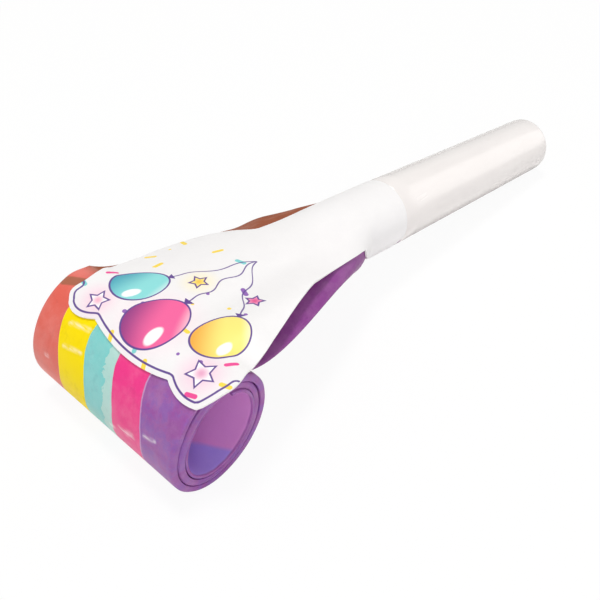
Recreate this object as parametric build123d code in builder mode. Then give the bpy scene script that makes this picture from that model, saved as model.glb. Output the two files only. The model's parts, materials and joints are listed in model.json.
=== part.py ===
from build123d import *
import os
from math import asin, cos, degrees, pi, radians, sin, sqrt

# Party horn blower lying at rest: the rolled paper tube and the mouth end touch the table at z = 0.
# Lengths are in millimetres. Along the blower, u runs from the collar's rear edge towards the mouth
# and v runs up, square to u. The whole blower leans by a small angle about Y, mouth end down.

# Mouthpiece
BASE_RADIUS = 7.0
SPIGOT_RADIUS = 6.3
SHOULDER_GAP = 0.1
TIP_RADIUS = 6.4
MOUTHPIECE_REACH = 57.5
LIP_RADIUS = 0.9
MOUTH_BORE_RADIUS = 4.5
MOUTH_BORE_LENGTH = 8.0
MOUTHPIECE_WALL = 1.6
REED_SEAT_RADIUS = 5.5
REED_SEAT_END = 9.0

# Reed
PLUG_LENGTH = 7.0
PLUG_CLEARANCE = 0.05
SHALLOT_RADIUS = 3.4
SHALLOT_LENGTH = 22.0
SHALLOT_END_WALL = 2.0
AIR_HOLE_RADIUS = 2.4
WEDGE_HOLE_RADIUS = 3.0
WEDGE_CLEARANCE = 0.05
TONGUE_WIDTH = 5.2
TONGUE_THICKNESS = 0.18
TONGUE_ROOT = 1.7
TONGUE_LENGTH = 21.0
TONGUE_CLEARANCE = 0.1
TONGUE_LIFT = 2.5

# Paper tube: a sleeve over the mouthpiece's spigot, a throat that flattens out, then the rolled ribbon
COLLAR_LENGTH = 11.0
SLEEVE_CLEARANCE = 0.05
SLEEVE_WALL = 0.25
THROAT_LENGTH = 46.0
THROAT_EASING = 1.63
THROAT_SECTIONS = 8
THROAT_CROWN = 0.1
THROAT_DROOP = 2.2
RIBBON_WIDTH = 36.8
RIBBON_THICKNESS = 0.4
PAPER_THICKNESS = 0.1
FOLD_MARGIN = 0.6

# Roll: an oval spiral whose long axis leans towards the mouth at the top
ROLL_CENTRE_U = -59.1
ROLL_CENTRE_V = -9.8
ROLL_LONG_RADIUS = 11.6
ROLL_SHORT_RADIUS = 9.9
ROLL_LEAN = 62.8
ROLL_PITCH = 1.3
FOLD_ANGLE = 45.0
FOLD_COUNT = 24
FOLD_GAP = 0.3

# Recoil spring strip and the glued tip inside the ribbon
STRIP_WIDTH = 2.5
STRIP_THICKNESS = 0.1
STRIP_TAIL = 14.0
SEAL_LENGTH = 1.5
SEAL_CLEARANCE = 0.02

# White card: a collar round the sleeve and a hood that drapes over the throat and the roll's top
CARD_THICKNESS = 0.35
CARD_CLEARANCE = 0.1
CARD_FOLD_GAP = 0.6
CARD_FRONT_ANGLE = 44.0
CARD_HALF_WIDTH = 23.0
CARD_OVERLAP = 0.5
HOOD_SPREAD = 88.0
# Edges of the hood as (share of its length from the collar, distance from the middle)
CARD_NEAR_EDGE = [
    (-0.06, 7.5), (0.02, 8.0), (0.08, 8.8), (0.25, 10.1), (0.38, 10.6), (0.43, 11.1),
    (0.52, 12.8), (0.68, 15.9), (0.78, 18.3), (0.88, 20.7), (0.94, 20.3),
]
CARD_FAR_EDGE = [
    (-0.06, 7.5), (0.02, 7.7), (0.11, 6.7), (0.21, 6.2), (0.3, 6.7), (0.33, 7.5), (0.37, 10.8),
    (0.41, 12.8), (0.46, 14.4), (0.59, 16.4), (0.72, 16.4), (0.81, 15.4), (0.9, 14.5), (0.95, 15.0),
]
# Front edge in three lobes, from the near corner to the far one, as (share, distance)
CARD_FRONT_EDGE = [
    (0.995, -18.5), (1.0, -15.0), (0.982, -11.5),
    (1.0, -2.5), (0.976, 7.0),
    (0.995, 10.5), (0.985, 13.4),
]

SLEEVE_INNER = SPIGOT_RADIUS + SLEEVE_CLEARANCE
SLEEVE_OUTER = SLEEVE_INNER + SLEEVE_WALL
COLLAR_INNER = SLEEVE_OUTER + CARD_CLEARANCE
COLLAR_OUTER = COLLAR_INNER + CARD_THICKNESS
RIBBON_EDGE = RIBBON_THICKNESS / 2
SLIT_EDGE = RIBBON_EDGE - PAPER_THICKNESS
ROLL_START = radians(90)
FOLD_STEP = radians(FOLD_ANGLE)


def roll_support(psi):
    """Distance from the roll's centre to the tangent line whose outward normal points at psi."""
    long_side = (ROLL_LONG_RADIUS - RIBBON_EDGE) * cos(psi - radians(ROLL_LEAN))
    short_side = (ROLL_SHORT_RADIUS - RIBBON_EDGE) * sin(psi - radians(ROLL_LEAN))
    return sqrt(long_side**2 + short_side**2) - ROLL_PITCH * (psi - ROLL_START) / (2 * pi)


def roll_slope(psi, step=1e-4):
    """Rate of change of the support distance with the normal's angle."""
    return (roll_support(psi + step) - roll_support(psi - step)) / (2 * step)


def roll_curvature_radius(psi, step=1e-3):
    """Radius of curvature of the ribbon's middle surface at psi."""
    bend = roll_support(psi + step) - 2 * roll_support(psi) + roll_support(psi - step)
    return roll_support(psi) + bend / step**2


def roll_point(psi, offset=0.0):
    """Point (u, v) at a distance outside the ribbon's middle surface, where its normal points at psi."""
    reach = roll_support(psi) + offset
    slope = roll_slope(psi)
    return (
        ROLL_CENTRE_U + reach * cos(psi) - slope * sin(psi),
        ROLL_CENTRE_V + reach * sin(psi) + slope * cos(psi),
    )


def rest_lean():
    """Angle at which the roll's underside and the mouth's lip both touch the table."""
    lean = 0.0
    for _ in range(20):
        underside = roll_support(1.5 * pi + lean) + RIBBON_EDGE
        along = MOUTHPIECE_REACH - LIP_RADIUS - ROLL_CENTRE_U
        drop = -(TIP_RADIUS - LIP_RADIUS) - ROLL_CENTRE_V
        lean = asin((drop * cos(lean) + underside - LIP_RADIUS) / along)
    return lean


# The frame's origin is the middle of the bounding box on the table
LEAN = rest_lean()
ROLL_FRONT = (
    ROLL_CENTRE_U * cos(LEAN) + ROLL_CENTRE_V * sin(LEAN) - roll_support(pi + LEAN) - RIBBON_EDGE
)
MOUTH_END = (
    (MOUTHPIECE_REACH - LIP_RADIUS) * cos(LEAN) + (TIP_RADIUS - LIP_RADIUS) * sin(LEAN) + LIP_RADIUS
)
ROLL_BOTTOM = (
    -ROLL_CENTRE_U * sin(LEAN) + ROLL_CENTRE_V * cos(LEAN) - roll_support(1.5 * pi + LEAN) - RIBBON_EDGE
)
CARD_NEAR_REACH = max(distance for _, distance in CARD_NEAR_EDGE)
COLLAR_REAR = Vector(
    -(ROLL_FRONT + MOUTH_END) / 2,
    (CARD_NEAR_REACH - RIBBON_WIDTH / 2) / 2,
    -ROLL_BOTTOM,
)
AXIS_DIRECTION = Vector(cos(LEAN), 0, -sin(LEAN))
UP_DIRECTION = Vector(sin(LEAN), 0, cos(LEAN))
SIDE = Plane(COLLAR_REAR, x_dir=AXIS_DIRECTION, z_dir=(0, -1, 0))
PLAN = Plane(COLLAR_REAR, x_dir=AXIS_DIRECTION, z_dir=UP_DIRECTION)
AXIS = Axis(COLLAR_REAR, AXIS_DIRECTION)

RIBBON_TOP_U, RIBBON_MIDDLE_V = roll_point(ROLL_START)
FLAT_START_U = -COLLAR_LENGTH - THROAT_LENGTH
CARD_FRONT_PSI = ROLL_START + radians(CARD_FRONT_ANGLE)
CARD_TIP_U = roll_point(CARD_FRONT_PSI, RIBBON_EDGE + CARD_CLEARANCE + CARD_THICKNESS)[0]


def cross_plane(u):
    """Plane square to the blower's axis, with its x along Y and its y along v."""
    return Plane(COLLAR_REAR + AXIS_DIRECTION * u, x_dir=(0, 1, 0), z_dir=AXIS_DIRECTION)


def fold_angles(index, gap):
    """Start, middle and end normal angles of one fold, short of its neighbours by half a gap."""
    start = ROLL_START + index * FOLD_STEP
    end = start + FOLD_STEP
    start += gap / 2 / roll_curvature_radius(start)
    end -= gap / 2 / roll_curvature_radius(end)
    return start, (start + end) / 2, end


def band(angles, inside, outside):
    """Face of a curved band of the roll between two offsets, in the side plane."""
    start, middle, end = angles
    with BuildSketch(SIDE) as face:
        with BuildLine():
            ThreePointArc(roll_point(start, outside), roll_point(middle, outside), roll_point(end, outside))
            Line(roll_point(end, outside), roll_point(end, inside))
            ThreePointArc(roll_point(end, inside), roll_point(middle, inside), roll_point(start, inside))
            Line(roll_point(start, inside), roll_point(start, outside))
        make_face()
    return face.sketch


def slab(start, end, low, high):
    """Face of a flat layer between two places along the blower and two heights, in the side plane."""
    with BuildSketch(SIDE) as face:
        with BuildLine():
            Polyline((start, low), (start, high), (end, high), (end, low), close=True)
        make_face()
    return face.sketch


def flattening(share):
    """How far the throat has flattened, from 0 at the collar to 1 at the ribbon."""
    return 1 - (1 - share) ** THROAT_EASING


def between(first, last, share):
    """Value part of the way from the first to the last."""
    return first + (last - first) * share


def edge_droop(share):
    """How far the throat's edges hang, which is most at four fifths of its length."""
    return THROAT_DROOP * 5**5 / 4**4 * share**4 * (1 - share)


def throat_lens(share, outer_radius, end_half_width, edge):
    """Half width of the throat's section, its rise and fall from its edges, and the edges' height."""
    eased = flattening(share)
    droop = edge_droop(share)
    half_width = between(sqrt(outer_radius**2 - edge**2), end_half_width, eased)
    fall = between(outer_radius, edge + THROAT_CROWN, eased)
    return half_width, fall + droop, fall, RIBBON_MIDDLE_V * eased - droop


def throat_plane(share):
    """Plane of the throat's section at a share of its length."""
    return cross_plane(-COLLAR_LENGTH - share * THROAT_LENGTH)


def throat_section(share, outer_radius, end_half_width, edge):
    """Face of a flattened tube: an arc above and below, joined by short upright sides."""
    half_width, rise, fall, centre = throat_lens(share, outer_radius, end_half_width, edge)
    with BuildSketch(throat_plane(share)) as face:
        with BuildLine():
            ThreePointArc(
                (-half_width, centre + edge), (0, centre + rise), (half_width, centre + edge)
            )
            Line((half_width, centre + edge), (half_width, centre - edge))
            ThreePointArc(
                (half_width, centre - edge), (0, centre - fall), (-half_width, centre - edge)
            )
            Line((-half_width, centre - edge), (-half_width, centre + edge))
        make_face()
    return face.sketch


def hood_section(share):
    """Face of the hood's arch, which follows the throat's upper arc at a share of its length."""
    half_width, crest, _, centre = throat_lens(share, SLEEVE_OUTER, RIBBON_WIDTH / 2, RIBBON_EDGE)
    rise = crest - RIBBON_EDGE
    radius = (half_width**2 + rise**2) / (2 * rise)
    pivot = centre + crest - radius
    inner = radius + CARD_CLEARANCE
    outer = inner + CARD_THICKNESS
    reach = between(COLLAR_OUTER, CARD_HALF_WIDTH, flattening(share))
    spread = asin(min(reach / outer, sin(radians(HOOD_SPREAD))))
    across, rising = sin(spread), cos(spread)
    with BuildSketch(throat_plane(share)) as face:
        with BuildLine():
            ThreePointArc(
                (-inner * across, pivot + inner * rising),
                (0, pivot + inner),
                (inner * across, pivot + inner * rising),
            )
            Line((inner * across, pivot + inner * rising), (outer * across, pivot + outer * rising))
            ThreePointArc(
                (outer * across, pivot + outer * rising),
                (0, pivot + outer),
                (-outer * across, pivot + outer * rising),
            )
            Line((-outer * across, pivot + outer * rising), (-inner * across, pivot + inner * rising))
        make_face()
    return face.sketch


def card_place(share, distance):
    """Point of the hood's plan at a share of its length and a distance across."""
    return between(-COLLAR_LENGTH, CARD_TIP_U, share), distance


def card_plan():
    """Face of the hood's plan: two free edges and a front edge in three lobes."""
    near = [card_place(share, -distance) for share, distance in CARD_NEAR_EDGE]
    far = [card_place(share, distance) for share, distance in CARD_FAR_EDGE]
    front = [card_place(share, distance) for share, distance in CARD_FRONT_EDGE]
    with BuildSketch(PLAN) as face:
        with BuildLine():
            Spline(*near, front[0])
            for first, top, last in zip(front[0:5:2], front[1:6:2], front[2:7:2]):
                ThreePointArc(first, top, last)
            Spline(front[-1], *reversed(far))
            Line(far[0], near[0])
        make_face()
    return face.sketch


def finish(part, name):
    """Label one piece and write it to its own file."""
    part.label = name
    export_step(part, f"parts/{name}.step")


os.makedirs("parts", exist_ok=True)

# Mouthpiece: a tapered tube with a rounded lip and a narrow bore at the mouth; its base is a spigot
# inside the sleeve, with the reed's seat, and a shoulder that the collar stops short of
CHAMBER_END = MOUTHPIECE_REACH - MOUTH_BORE_LENGTH
CHAMBER_SLOPE = (TIP_RADIUS - BASE_RADIUS) / MOUTHPIECE_REACH
with BuildPart() as mouthpiece:
    with BuildSketch(SIDE):
        with BuildLine():
            Polyline(
                (-COLLAR_LENGTH, REED_SEAT_RADIUS),
                (-COLLAR_LENGTH, SPIGOT_RADIUS),
                (SHOULDER_GAP, SPIGOT_RADIUS),
                (SHOULDER_GAP, BASE_RADIUS),
                (MOUTHPIECE_REACH, TIP_RADIUS),
                (MOUTHPIECE_REACH, MOUTH_BORE_RADIUS),
                (CHAMBER_END, MOUTH_BORE_RADIUS),
                (CHAMBER_END, BASE_RADIUS + CHAMBER_SLOPE * CHAMBER_END - MOUTHPIECE_WALL),
                (REED_SEAT_END, BASE_RADIUS + CHAMBER_SLOPE * REED_SEAT_END - MOUTHPIECE_WALL),
                (REED_SEAT_END, REED_SEAT_RADIUS),
                close=True,
            )
        make_face()
    revolve(axis=AXIS)
    mouth_edges = mouthpiece.faces().sort_by(AXIS)[-1].edges().sort_by(SortBy.LENGTH)
    fillet(mouth_edges[-1], LIP_RADIUS)
finish(mouthpiece.part, "mouthpiece")

# Reed plug: a disc in the seat, with a half-round trough that the tongue lies over
PLUG_START = REED_SEAT_END - PLUG_LENGTH
with BuildPart() as reed_plug:
    with BuildSketch(cross_plane(PLUG_START)):
        Circle(REED_SEAT_RADIUS - PLUG_CLEARANCE)
    extrude(amount=PLUG_LENGTH)
    with BuildSketch(cross_plane(REED_SEAT_END)):
        Circle(SHALLOT_RADIUS)
        Rectangle(
            2 * SHALLOT_RADIUS, SHALLOT_RADIUS, align=(Align.CENTER, Align.MAX), mode=Mode.INTERSECT
        )
    extrude(amount=SHALLOT_LENGTH)
    with BuildSketch(cross_plane(PLUG_START)):
        Circle(AIR_HOLE_RADIUS)
        Rectangle(
            2 * AIR_HOLE_RADIUS, AIR_HOLE_RADIUS, align=(Align.CENTER, Align.MAX), mode=Mode.INTERSECT
        )
    extrude(amount=PLUG_LENGTH + SHALLOT_LENGTH - SHALLOT_END_WALL, mode=Mode.SUBTRACT)
    with BuildSketch(cross_plane(PLUG_START)):
        Circle(WEDGE_HOLE_RADIUS)
        Rectangle(
            2 * WEDGE_HOLE_RADIUS, WEDGE_HOLE_RADIUS, align=(Align.CENTER, Align.MIN), mode=Mode.INTERSECT
        )
    extrude(amount=PLUG_LENGTH, mode=Mode.SUBTRACT)
finish(reed_plug.part, "reed_plug")

# Reed wedge: a half-round key above the tongue's root
WEDGE_FLAT = 2 * TONGUE_CLEARANCE + TONGUE_THICKNESS
with BuildPart() as reed_wedge:
    with BuildSketch(cross_plane(PLUG_START)):
        Circle(WEDGE_HOLE_RADIUS - WEDGE_CLEARANCE)
        with Locations((0, WEDGE_FLAT)):
            Rectangle(
                2 * WEDGE_HOLE_RADIUS,
                WEDGE_HOLE_RADIUS,
                align=(Align.CENTER, Align.MIN),
                mode=Mode.INTERSECT,
            )
    extrude(amount=PLUG_LENGTH)
finish(reed_wedge.part, "reed_wedge")

# Reed tongue: a springy strip, flat in its slot and lifted off the trough beyond it
TONGUE_RISE = TONGUE_LENGTH * sin(radians(TONGUE_LIFT))
with BuildPart() as reed_tongue:
    with BuildSketch(SIDE):
        with BuildLine():
            Polyline(
                (REED_SEAT_END - TONGUE_ROOT, TONGUE_CLEARANCE),
                (REED_SEAT_END, TONGUE_CLEARANCE),
                (REED_SEAT_END + TONGUE_LENGTH, TONGUE_CLEARANCE + TONGUE_RISE),
                (REED_SEAT_END + TONGUE_LENGTH, TONGUE_CLEARANCE + TONGUE_RISE + TONGUE_THICKNESS),
                (REED_SEAT_END, TONGUE_CLEARANCE + TONGUE_THICKNESS),
                (REED_SEAT_END - TONGUE_ROOT, TONGUE_CLEARANCE + TONGUE_THICKNESS),
                close=True,
            )
        make_face()
    extrude(amount=TONGUE_WIDTH / 2, both=True)
finish(reed_tongue.part, "reed_tongue")

# Throat of the paper tube: sleeve, flattening stretch and the flat ribbon up to the roll
HINGE_EDGE_U = RIBBON_TOP_U + FOLD_GAP / 2
THROAT_SHARES = [step / THROAT_SECTIONS for step in range(THROAT_SECTIONS + 1)]
SLIT_HALF_WIDTH = RIBBON_WIDTH / 2 - FOLD_MARGIN
with BuildPart() as throat:
    loft([throat_section(share, SLEEVE_OUTER, RIBBON_WIDTH / 2, RIBBON_EDGE) for share in THROAT_SHARES])
    with BuildSketch(cross_plane(-COLLAR_LENGTH)):
        Circle(SLEEVE_OUTER)
    extrude(amount=COLLAR_LENGTH)
    ribbon = slab(FLAT_START_U, HINGE_EDGE_U, RIBBON_MIDDLE_V - RIBBON_EDGE, RIBBON_MIDDLE_V + RIBBON_EDGE)
    extrude(ribbon, amount=RIBBON_WIDTH / 2, both=True)
    loft(
        [throat_section(share, SLEEVE_INNER, SLIT_HALF_WIDTH, SLIT_EDGE) for share in THROAT_SHARES],
        mode=Mode.SUBTRACT,
    )
    with BuildSketch(cross_plane(-COLLAR_LENGTH)):
        Circle(SLEEVE_INNER)
    extrude(amount=COLLAR_LENGTH, mode=Mode.SUBTRACT)
    slit = slab(FLAT_START_U, HINGE_EDGE_U, RIBBON_MIDDLE_V - SLIT_EDGE, RIBBON_MIDDLE_V + SLIT_EDGE)
    extrude(slit, amount=SLIT_HALF_WIDTH, both=True, mode=Mode.SUBTRACT)
finish(throat.part, "paper_tube_throat")

# Fixed end of the recoil spring strip, lying in the flat ribbon
STRIP_EDGE = STRIP_THICKNESS / 2
with BuildPart() as strip_root:
    strip_side = slab(
        HINGE_EDGE_U + STRIP_TAIL, HINGE_EDGE_U, RIBBON_MIDDLE_V - STRIP_EDGE, RIBBON_MIDDLE_V + STRIP_EDGE
    )
    extrude(strip_side, amount=STRIP_WIDTH / 2, both=True)
finish(strip_root.part, "recoil_strip_root")

# Tip seal: the glued tab that closes the last fold, just past the end of the spring strip
LAST_FOLD = FOLD_COUNT - 1
seal_end = fold_angles(LAST_FOLD, FOLD_GAP)[2]
seal_start = seal_end - SEAL_LENGTH / roll_curvature_radius(seal_end)
seal_angles = (seal_start, (seal_start + seal_end) / 2, seal_end)
seal_edge = SLIT_EDGE - SEAL_CLEARANCE
with BuildPart() as tip_seal:
    extrude(band(seal_angles, -seal_edge, seal_edge), amount=SLIT_HALF_WIDTH - SEAL_CLEARANCE, both=True)
finish(tip_seal.part, "tip_seal")

# Rolled ribbon: each fold is a flattened length of tube with its length of spring strip inside
for index in range(FOLD_COUNT):
    start, middle, end = fold_angles(index, FOLD_GAP)
    with BuildPart() as fold:
        extrude(band((start, middle, end), -RIBBON_EDGE, RIBBON_EDGE), amount=RIBBON_WIDTH / 2, both=True)
        slit = band(fold_angles(index, 0.0), -SLIT_EDGE, SLIT_EDGE)
        extrude(slit, amount=SLIT_HALF_WIDTH, both=True, mode=Mode.SUBTRACT)
    finish(fold.part, f"paper_tube_fold_{index + 1:02d}")
    if index == LAST_FOLD:
        end = seal_start - SEAL_CLEARANCE / roll_curvature_radius(seal_start)
        middle = (start + end) / 2
    with BuildPart() as strip:
        extrude(band((start, middle, end), -STRIP_EDGE, STRIP_EDGE), amount=STRIP_WIDTH / 2, both=True)
    finish(strip.part, f"recoil_strip_{index + 1:02d}")

# Card: the arched hood over the throat, its flat stretch before the roll, and the collar
HOOD_HEIGHT = 3 * SLEEVE_OUTER
CARD_INSIDE = RIBBON_EDGE + CARD_CLEARANCE
CARD_OUTSIDE = CARD_INSIDE + CARD_THICKNESS
CARD_EDGE_U = RIBBON_TOP_U + CARD_FOLD_GAP / 2
with BuildPart() as card:
    loft([hood_section(share) for share in THROAT_SHARES])
    flat_card = slab(
        FLAT_START_U + CARD_OVERLAP,
        CARD_EDGE_U,
        RIBBON_MIDDLE_V + CARD_INSIDE,
        RIBBON_MIDDLE_V + CARD_OUTSIDE,
    )
    extrude(flat_card, amount=CARD_HALF_WIDTH, both=True)
    extrude(card_plan(), amount=HOOD_HEIGHT, both=True, mode=Mode.INTERSECT)
    with BuildSketch(cross_plane(-COLLAR_LENGTH)):
        Circle(COLLAR_OUTER)
        Circle(COLLAR_INNER, mode=Mode.SUBTRACT)
    extrude(amount=COLLAR_LENGTH)
finish(card.part, "card_hood")

# Front of the hood: the lap of card that is glued over the first fold of the roll
front_start = ROLL_START + CARD_FOLD_GAP / 2 / roll_curvature_radius(ROLL_START)
front_angles = (front_start, (front_start + CARD_FRONT_PSI) / 2, CARD_FRONT_PSI)
with BuildPart() as card_front:
    extrude(band(front_angles, CARD_INSIDE, CARD_OUTSIDE), amount=CARD_HALF_WIDTH, both=True)
    extrude(card_plan(), amount=HOOD_HEIGHT, both=True, mode=Mode.INTERSECT)
finish(card_front.part, "card_hood_front")

# Places that the joints and the mount share with the model
print(f"lean {degrees(LEAN):.4f} degrees, collar rear at {COLLAR_REAR}")
for index in range(FOLD_COUNT):
    hinge = SIDE.from_local_coords(roll_point(ROLL_START + index * FOLD_STEP, RIBBON_EDGE))
    print(f"hinge {index + 1:02d} at {hinge.X:.4f} {hinge.Y:.4f} {hinge.Z:.4f}")
reed_hinge = SIDE.from_local_coords((REED_SEAT_END, TONGUE_CLEARANCE))
mouth = SIDE.from_local_coords((MOUTHPIECE_REACH, 0))
print(f"reed hinge at {reed_hinge.X:.4f} {reed_hinge.Y:.4f} {reed_hinge.Z:.4f}")
print(f"mouth centre at {mouth.X:.4f} {mouth.Y:.4f} {mouth.Z:.4f}")
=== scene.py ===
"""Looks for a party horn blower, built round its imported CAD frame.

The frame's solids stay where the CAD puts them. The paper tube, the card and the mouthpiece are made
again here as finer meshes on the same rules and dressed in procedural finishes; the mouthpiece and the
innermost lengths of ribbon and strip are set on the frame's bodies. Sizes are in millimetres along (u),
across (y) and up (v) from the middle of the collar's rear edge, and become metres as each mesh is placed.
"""

import json
import logging
import math
from dataclasses import dataclass
from enum import Enum
from functools import partialmethod

import bmesh
import bpy
import numpy as np
from mathutils import Matrix, Vector

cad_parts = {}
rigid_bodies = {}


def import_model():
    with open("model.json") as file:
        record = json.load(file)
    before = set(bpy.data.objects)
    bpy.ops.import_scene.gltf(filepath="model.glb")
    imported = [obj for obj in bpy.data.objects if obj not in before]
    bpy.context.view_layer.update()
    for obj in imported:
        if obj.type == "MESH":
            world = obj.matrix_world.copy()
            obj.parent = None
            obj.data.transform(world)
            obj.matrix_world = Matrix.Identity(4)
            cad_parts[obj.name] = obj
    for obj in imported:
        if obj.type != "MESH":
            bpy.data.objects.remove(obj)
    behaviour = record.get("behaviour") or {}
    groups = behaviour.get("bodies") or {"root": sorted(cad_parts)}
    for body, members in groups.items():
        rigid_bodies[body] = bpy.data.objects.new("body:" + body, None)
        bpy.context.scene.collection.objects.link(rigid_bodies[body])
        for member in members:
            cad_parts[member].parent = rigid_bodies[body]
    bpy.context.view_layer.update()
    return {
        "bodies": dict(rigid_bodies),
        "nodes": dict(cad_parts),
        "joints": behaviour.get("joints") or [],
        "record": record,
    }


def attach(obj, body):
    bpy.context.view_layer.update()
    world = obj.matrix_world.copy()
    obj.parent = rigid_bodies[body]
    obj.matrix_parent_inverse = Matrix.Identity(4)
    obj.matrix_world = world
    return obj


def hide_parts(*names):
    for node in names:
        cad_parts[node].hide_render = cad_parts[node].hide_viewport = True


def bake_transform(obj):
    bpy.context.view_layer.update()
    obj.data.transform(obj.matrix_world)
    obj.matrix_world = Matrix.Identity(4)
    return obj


LOG = logging.getLogger("horn_blower")
MM = 0.001
UV_SPAN = 100.0
CARD_ORIGIN = (0.2, 0.5)
Colour = tuple[float, float, float, float]
Pair = tuple[float, float]
WHITE: Colour = (1.0, 1.0, 1.0, 1.0)
BLACK: Colour = (0.0, 0.0, 0.0, 1.0)


class Slot(Enum):
    """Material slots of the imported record."""

    MOUTHPIECE = "mouthpiece_plastic"
    REED = "reed_plastic"
    FILM = "reed_film"
    STRIPES = "striped_paper"
    CARD = "white_card"
    PAPER = "white_paper"
    SPRING = "spring_strip"


class Ray(Enum):
    """Kinds of ray that see the white backdrop and not the plain light level."""

    CAMERA = "Is Camera Ray"
    GLOSSY = "Is Glossy Ray"
    TRANSMISSION = "Is Transmission Ray"


def paint(code: str) -> Colour:
    """Turn a hex colour as seen on screen into the linear colour that a socket takes.

    Args:
        code: Six hex digits.

    Returns:
        Linear red, green, blue and a full alpha.
    """
    parts = [int(code[place : place + 2], 16) / 255 for place in (0, 2, 4)]
    linear = [part / 12.92 if part <= 0.04045 else ((part + 0.055) / 1.055) ** 2.4 for part in parts]
    return (linear[0], linear[1], linear[2], 1.0)


def smooth(low: float, high: float, value: np.ndarray | float) -> np.ndarray:
    """Ease from 0 at the low value to 1 at the high one."""
    share = np.clip((np.asarray(value, float) - low) / (high - low), 0, 1)
    return share * share * (3 - 2 * share)


def hump(rise: Pair, fall: Pair, value: np.ndarray) -> np.ndarray:
    """Ease from 0 up to 1 over one range and down again over another."""
    return smooth(*rise, value) * (1 - smooth(*fall, value))


def walked(line: np.ndarray) -> np.ndarray:
    """Length of a line up to each of its places."""
    return np.concatenate([[0], np.cumsum(np.linalg.norm(np.diff(line, axis=0), axis=1))])


def evenly(line: np.ndarray, count: int) -> np.ndarray:
    """Take places from a line in a plane, evenly spaced by length."""
    lengths = walked(line)
    wanted = np.linspace(0, lengths[-1], count)
    return np.column_stack([np.interp(wanted, lengths, line[:, axis]) for axis in (0, 1)])


def through(points: list[Pair], count: int, steps: int = 24) -> np.ndarray:
    """Run a smooth line through points in a plane.

    Args:
        points: Places that the line passes, in order.
        count: How many places of the line to give back, evenly spaced by length.
        steps: Places to work out between two points.

    Returns:
        An array of count rows with two columns.
    """
    knots = np.asarray(points, float)
    padded = np.vstack([2 * knots[0] - knots[1], knots, 2 * knots[-1] - knots[-2]])
    share = np.linspace(0, 1, steps, endpoint=False)[:, None]
    runs = []
    for before, first, last, after in zip(padded, padded[1:], padded[2:], padded[3:]):
        bend = 2 * before - 5 * first + 4 * last - after
        twist = 3 * first - before - 3 * last + after
        runs.append(0.5 * (2 * first + (last - before) * share + bend * share**2 + twist * share**3))
    return evenly(np.vstack([*runs, knots[-1:]]), count)


def plug(tree: bpy.types.NodeTree, socket: bpy.types.NodeSocket, value: object) -> None:
    """Join a wire to an input socket, or set the socket's own value."""
    if isinstance(value, Wire):
        tree.links.new(value.socket, socket)
    else:
        socket.default_value = value


def placed(name: str, data: bpy.types.ID) -> bpy.types.Object:
    """Make an object of its data and put it in the scene."""
    made = bpy.data.objects.new(name, data)
    bpy.context.scene.collection.objects.link(made)
    return made


class Wire:
    """A value on its way through a node tree; sums on wires add Math nodes."""

    def __init__(self, tree: bpy.types.NodeTree, socket: bpy.types.NodeSocket) -> None:
        """Keep the tree and the output socket that the value comes from."""
        self.tree = tree
        self.socket = socket

    def math(self, operation: str, *others: "Wire | float") -> "Wire":
        """Add one Math node.

        Args:
            operation: Blender's name of the operation.
            others: The operands after this one.

        Returns:
            The node's result.
        """
        node = self.tree.nodes.new("ShaderNodeMath")
        node.operation = operation
        for place, value in enumerate((self, *others)):
            plug(self.tree, node.inputs[place], value)
        return Wire(self.tree, node.outputs[0])

    __add__ = partialmethod(math, "ADD")
    __sub__ = partialmethod(math, "SUBTRACT")
    __mul__ = partialmethod(math, "MULTIPLY")
    __truediv__ = partialmethod(math, "DIVIDE")
    __pow__ = partialmethod(math, "POWER")
    __abs__ = partialmethod(math, "ABSOLUTE")
    sin = partialmethod(math, "SINE")
    cos = partialmethod(math, "COSINE")
    sqrt = partialmethod(math, "SQRT")
    under = partialmethod(math, "LESS_THAN")
    over = partialmethod(math, "GREATER_THAN")
    least = partialmethod(math, "MINIMUM")
    most = partialmethod(math, "MAXIMUM")

    def __rsub__(self, other: float) -> "Wire":
        """Difference from a number."""
        return self.math("MULTIPLY_ADD", -1.0, other)

    def clipped(self) -> "Wire":
        """The value held between 0 and 1."""
        return self.most(0.0).least(1.0)

    def eased(self, low: float, high: float) -> "Wire":
        """Ease from 0 at the low value to 1 at the high one, or down if high is below low."""
        node = self.tree.nodes.new("ShaderNodeMapRange")
        node.interpolation_type = "SMOOTHSTEP"
        self.tree.links.new(self.socket, node.inputs["Value"])
        for name, value in zip(("From Min", "From Max", "To Min", "To Max"), ends(low, high)):
            node.inputs[name].default_value = value
        return Wire(self.tree, node.outputs["Result"])


def ends(low: float, high: float) -> tuple[float, float, float, float]:
    """Ranges for an easing that runs from low to high, whichever is larger."""
    return (low, high, 0.0, 1.0) if low < high else (high, low, 1.0, 0.0)


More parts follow.
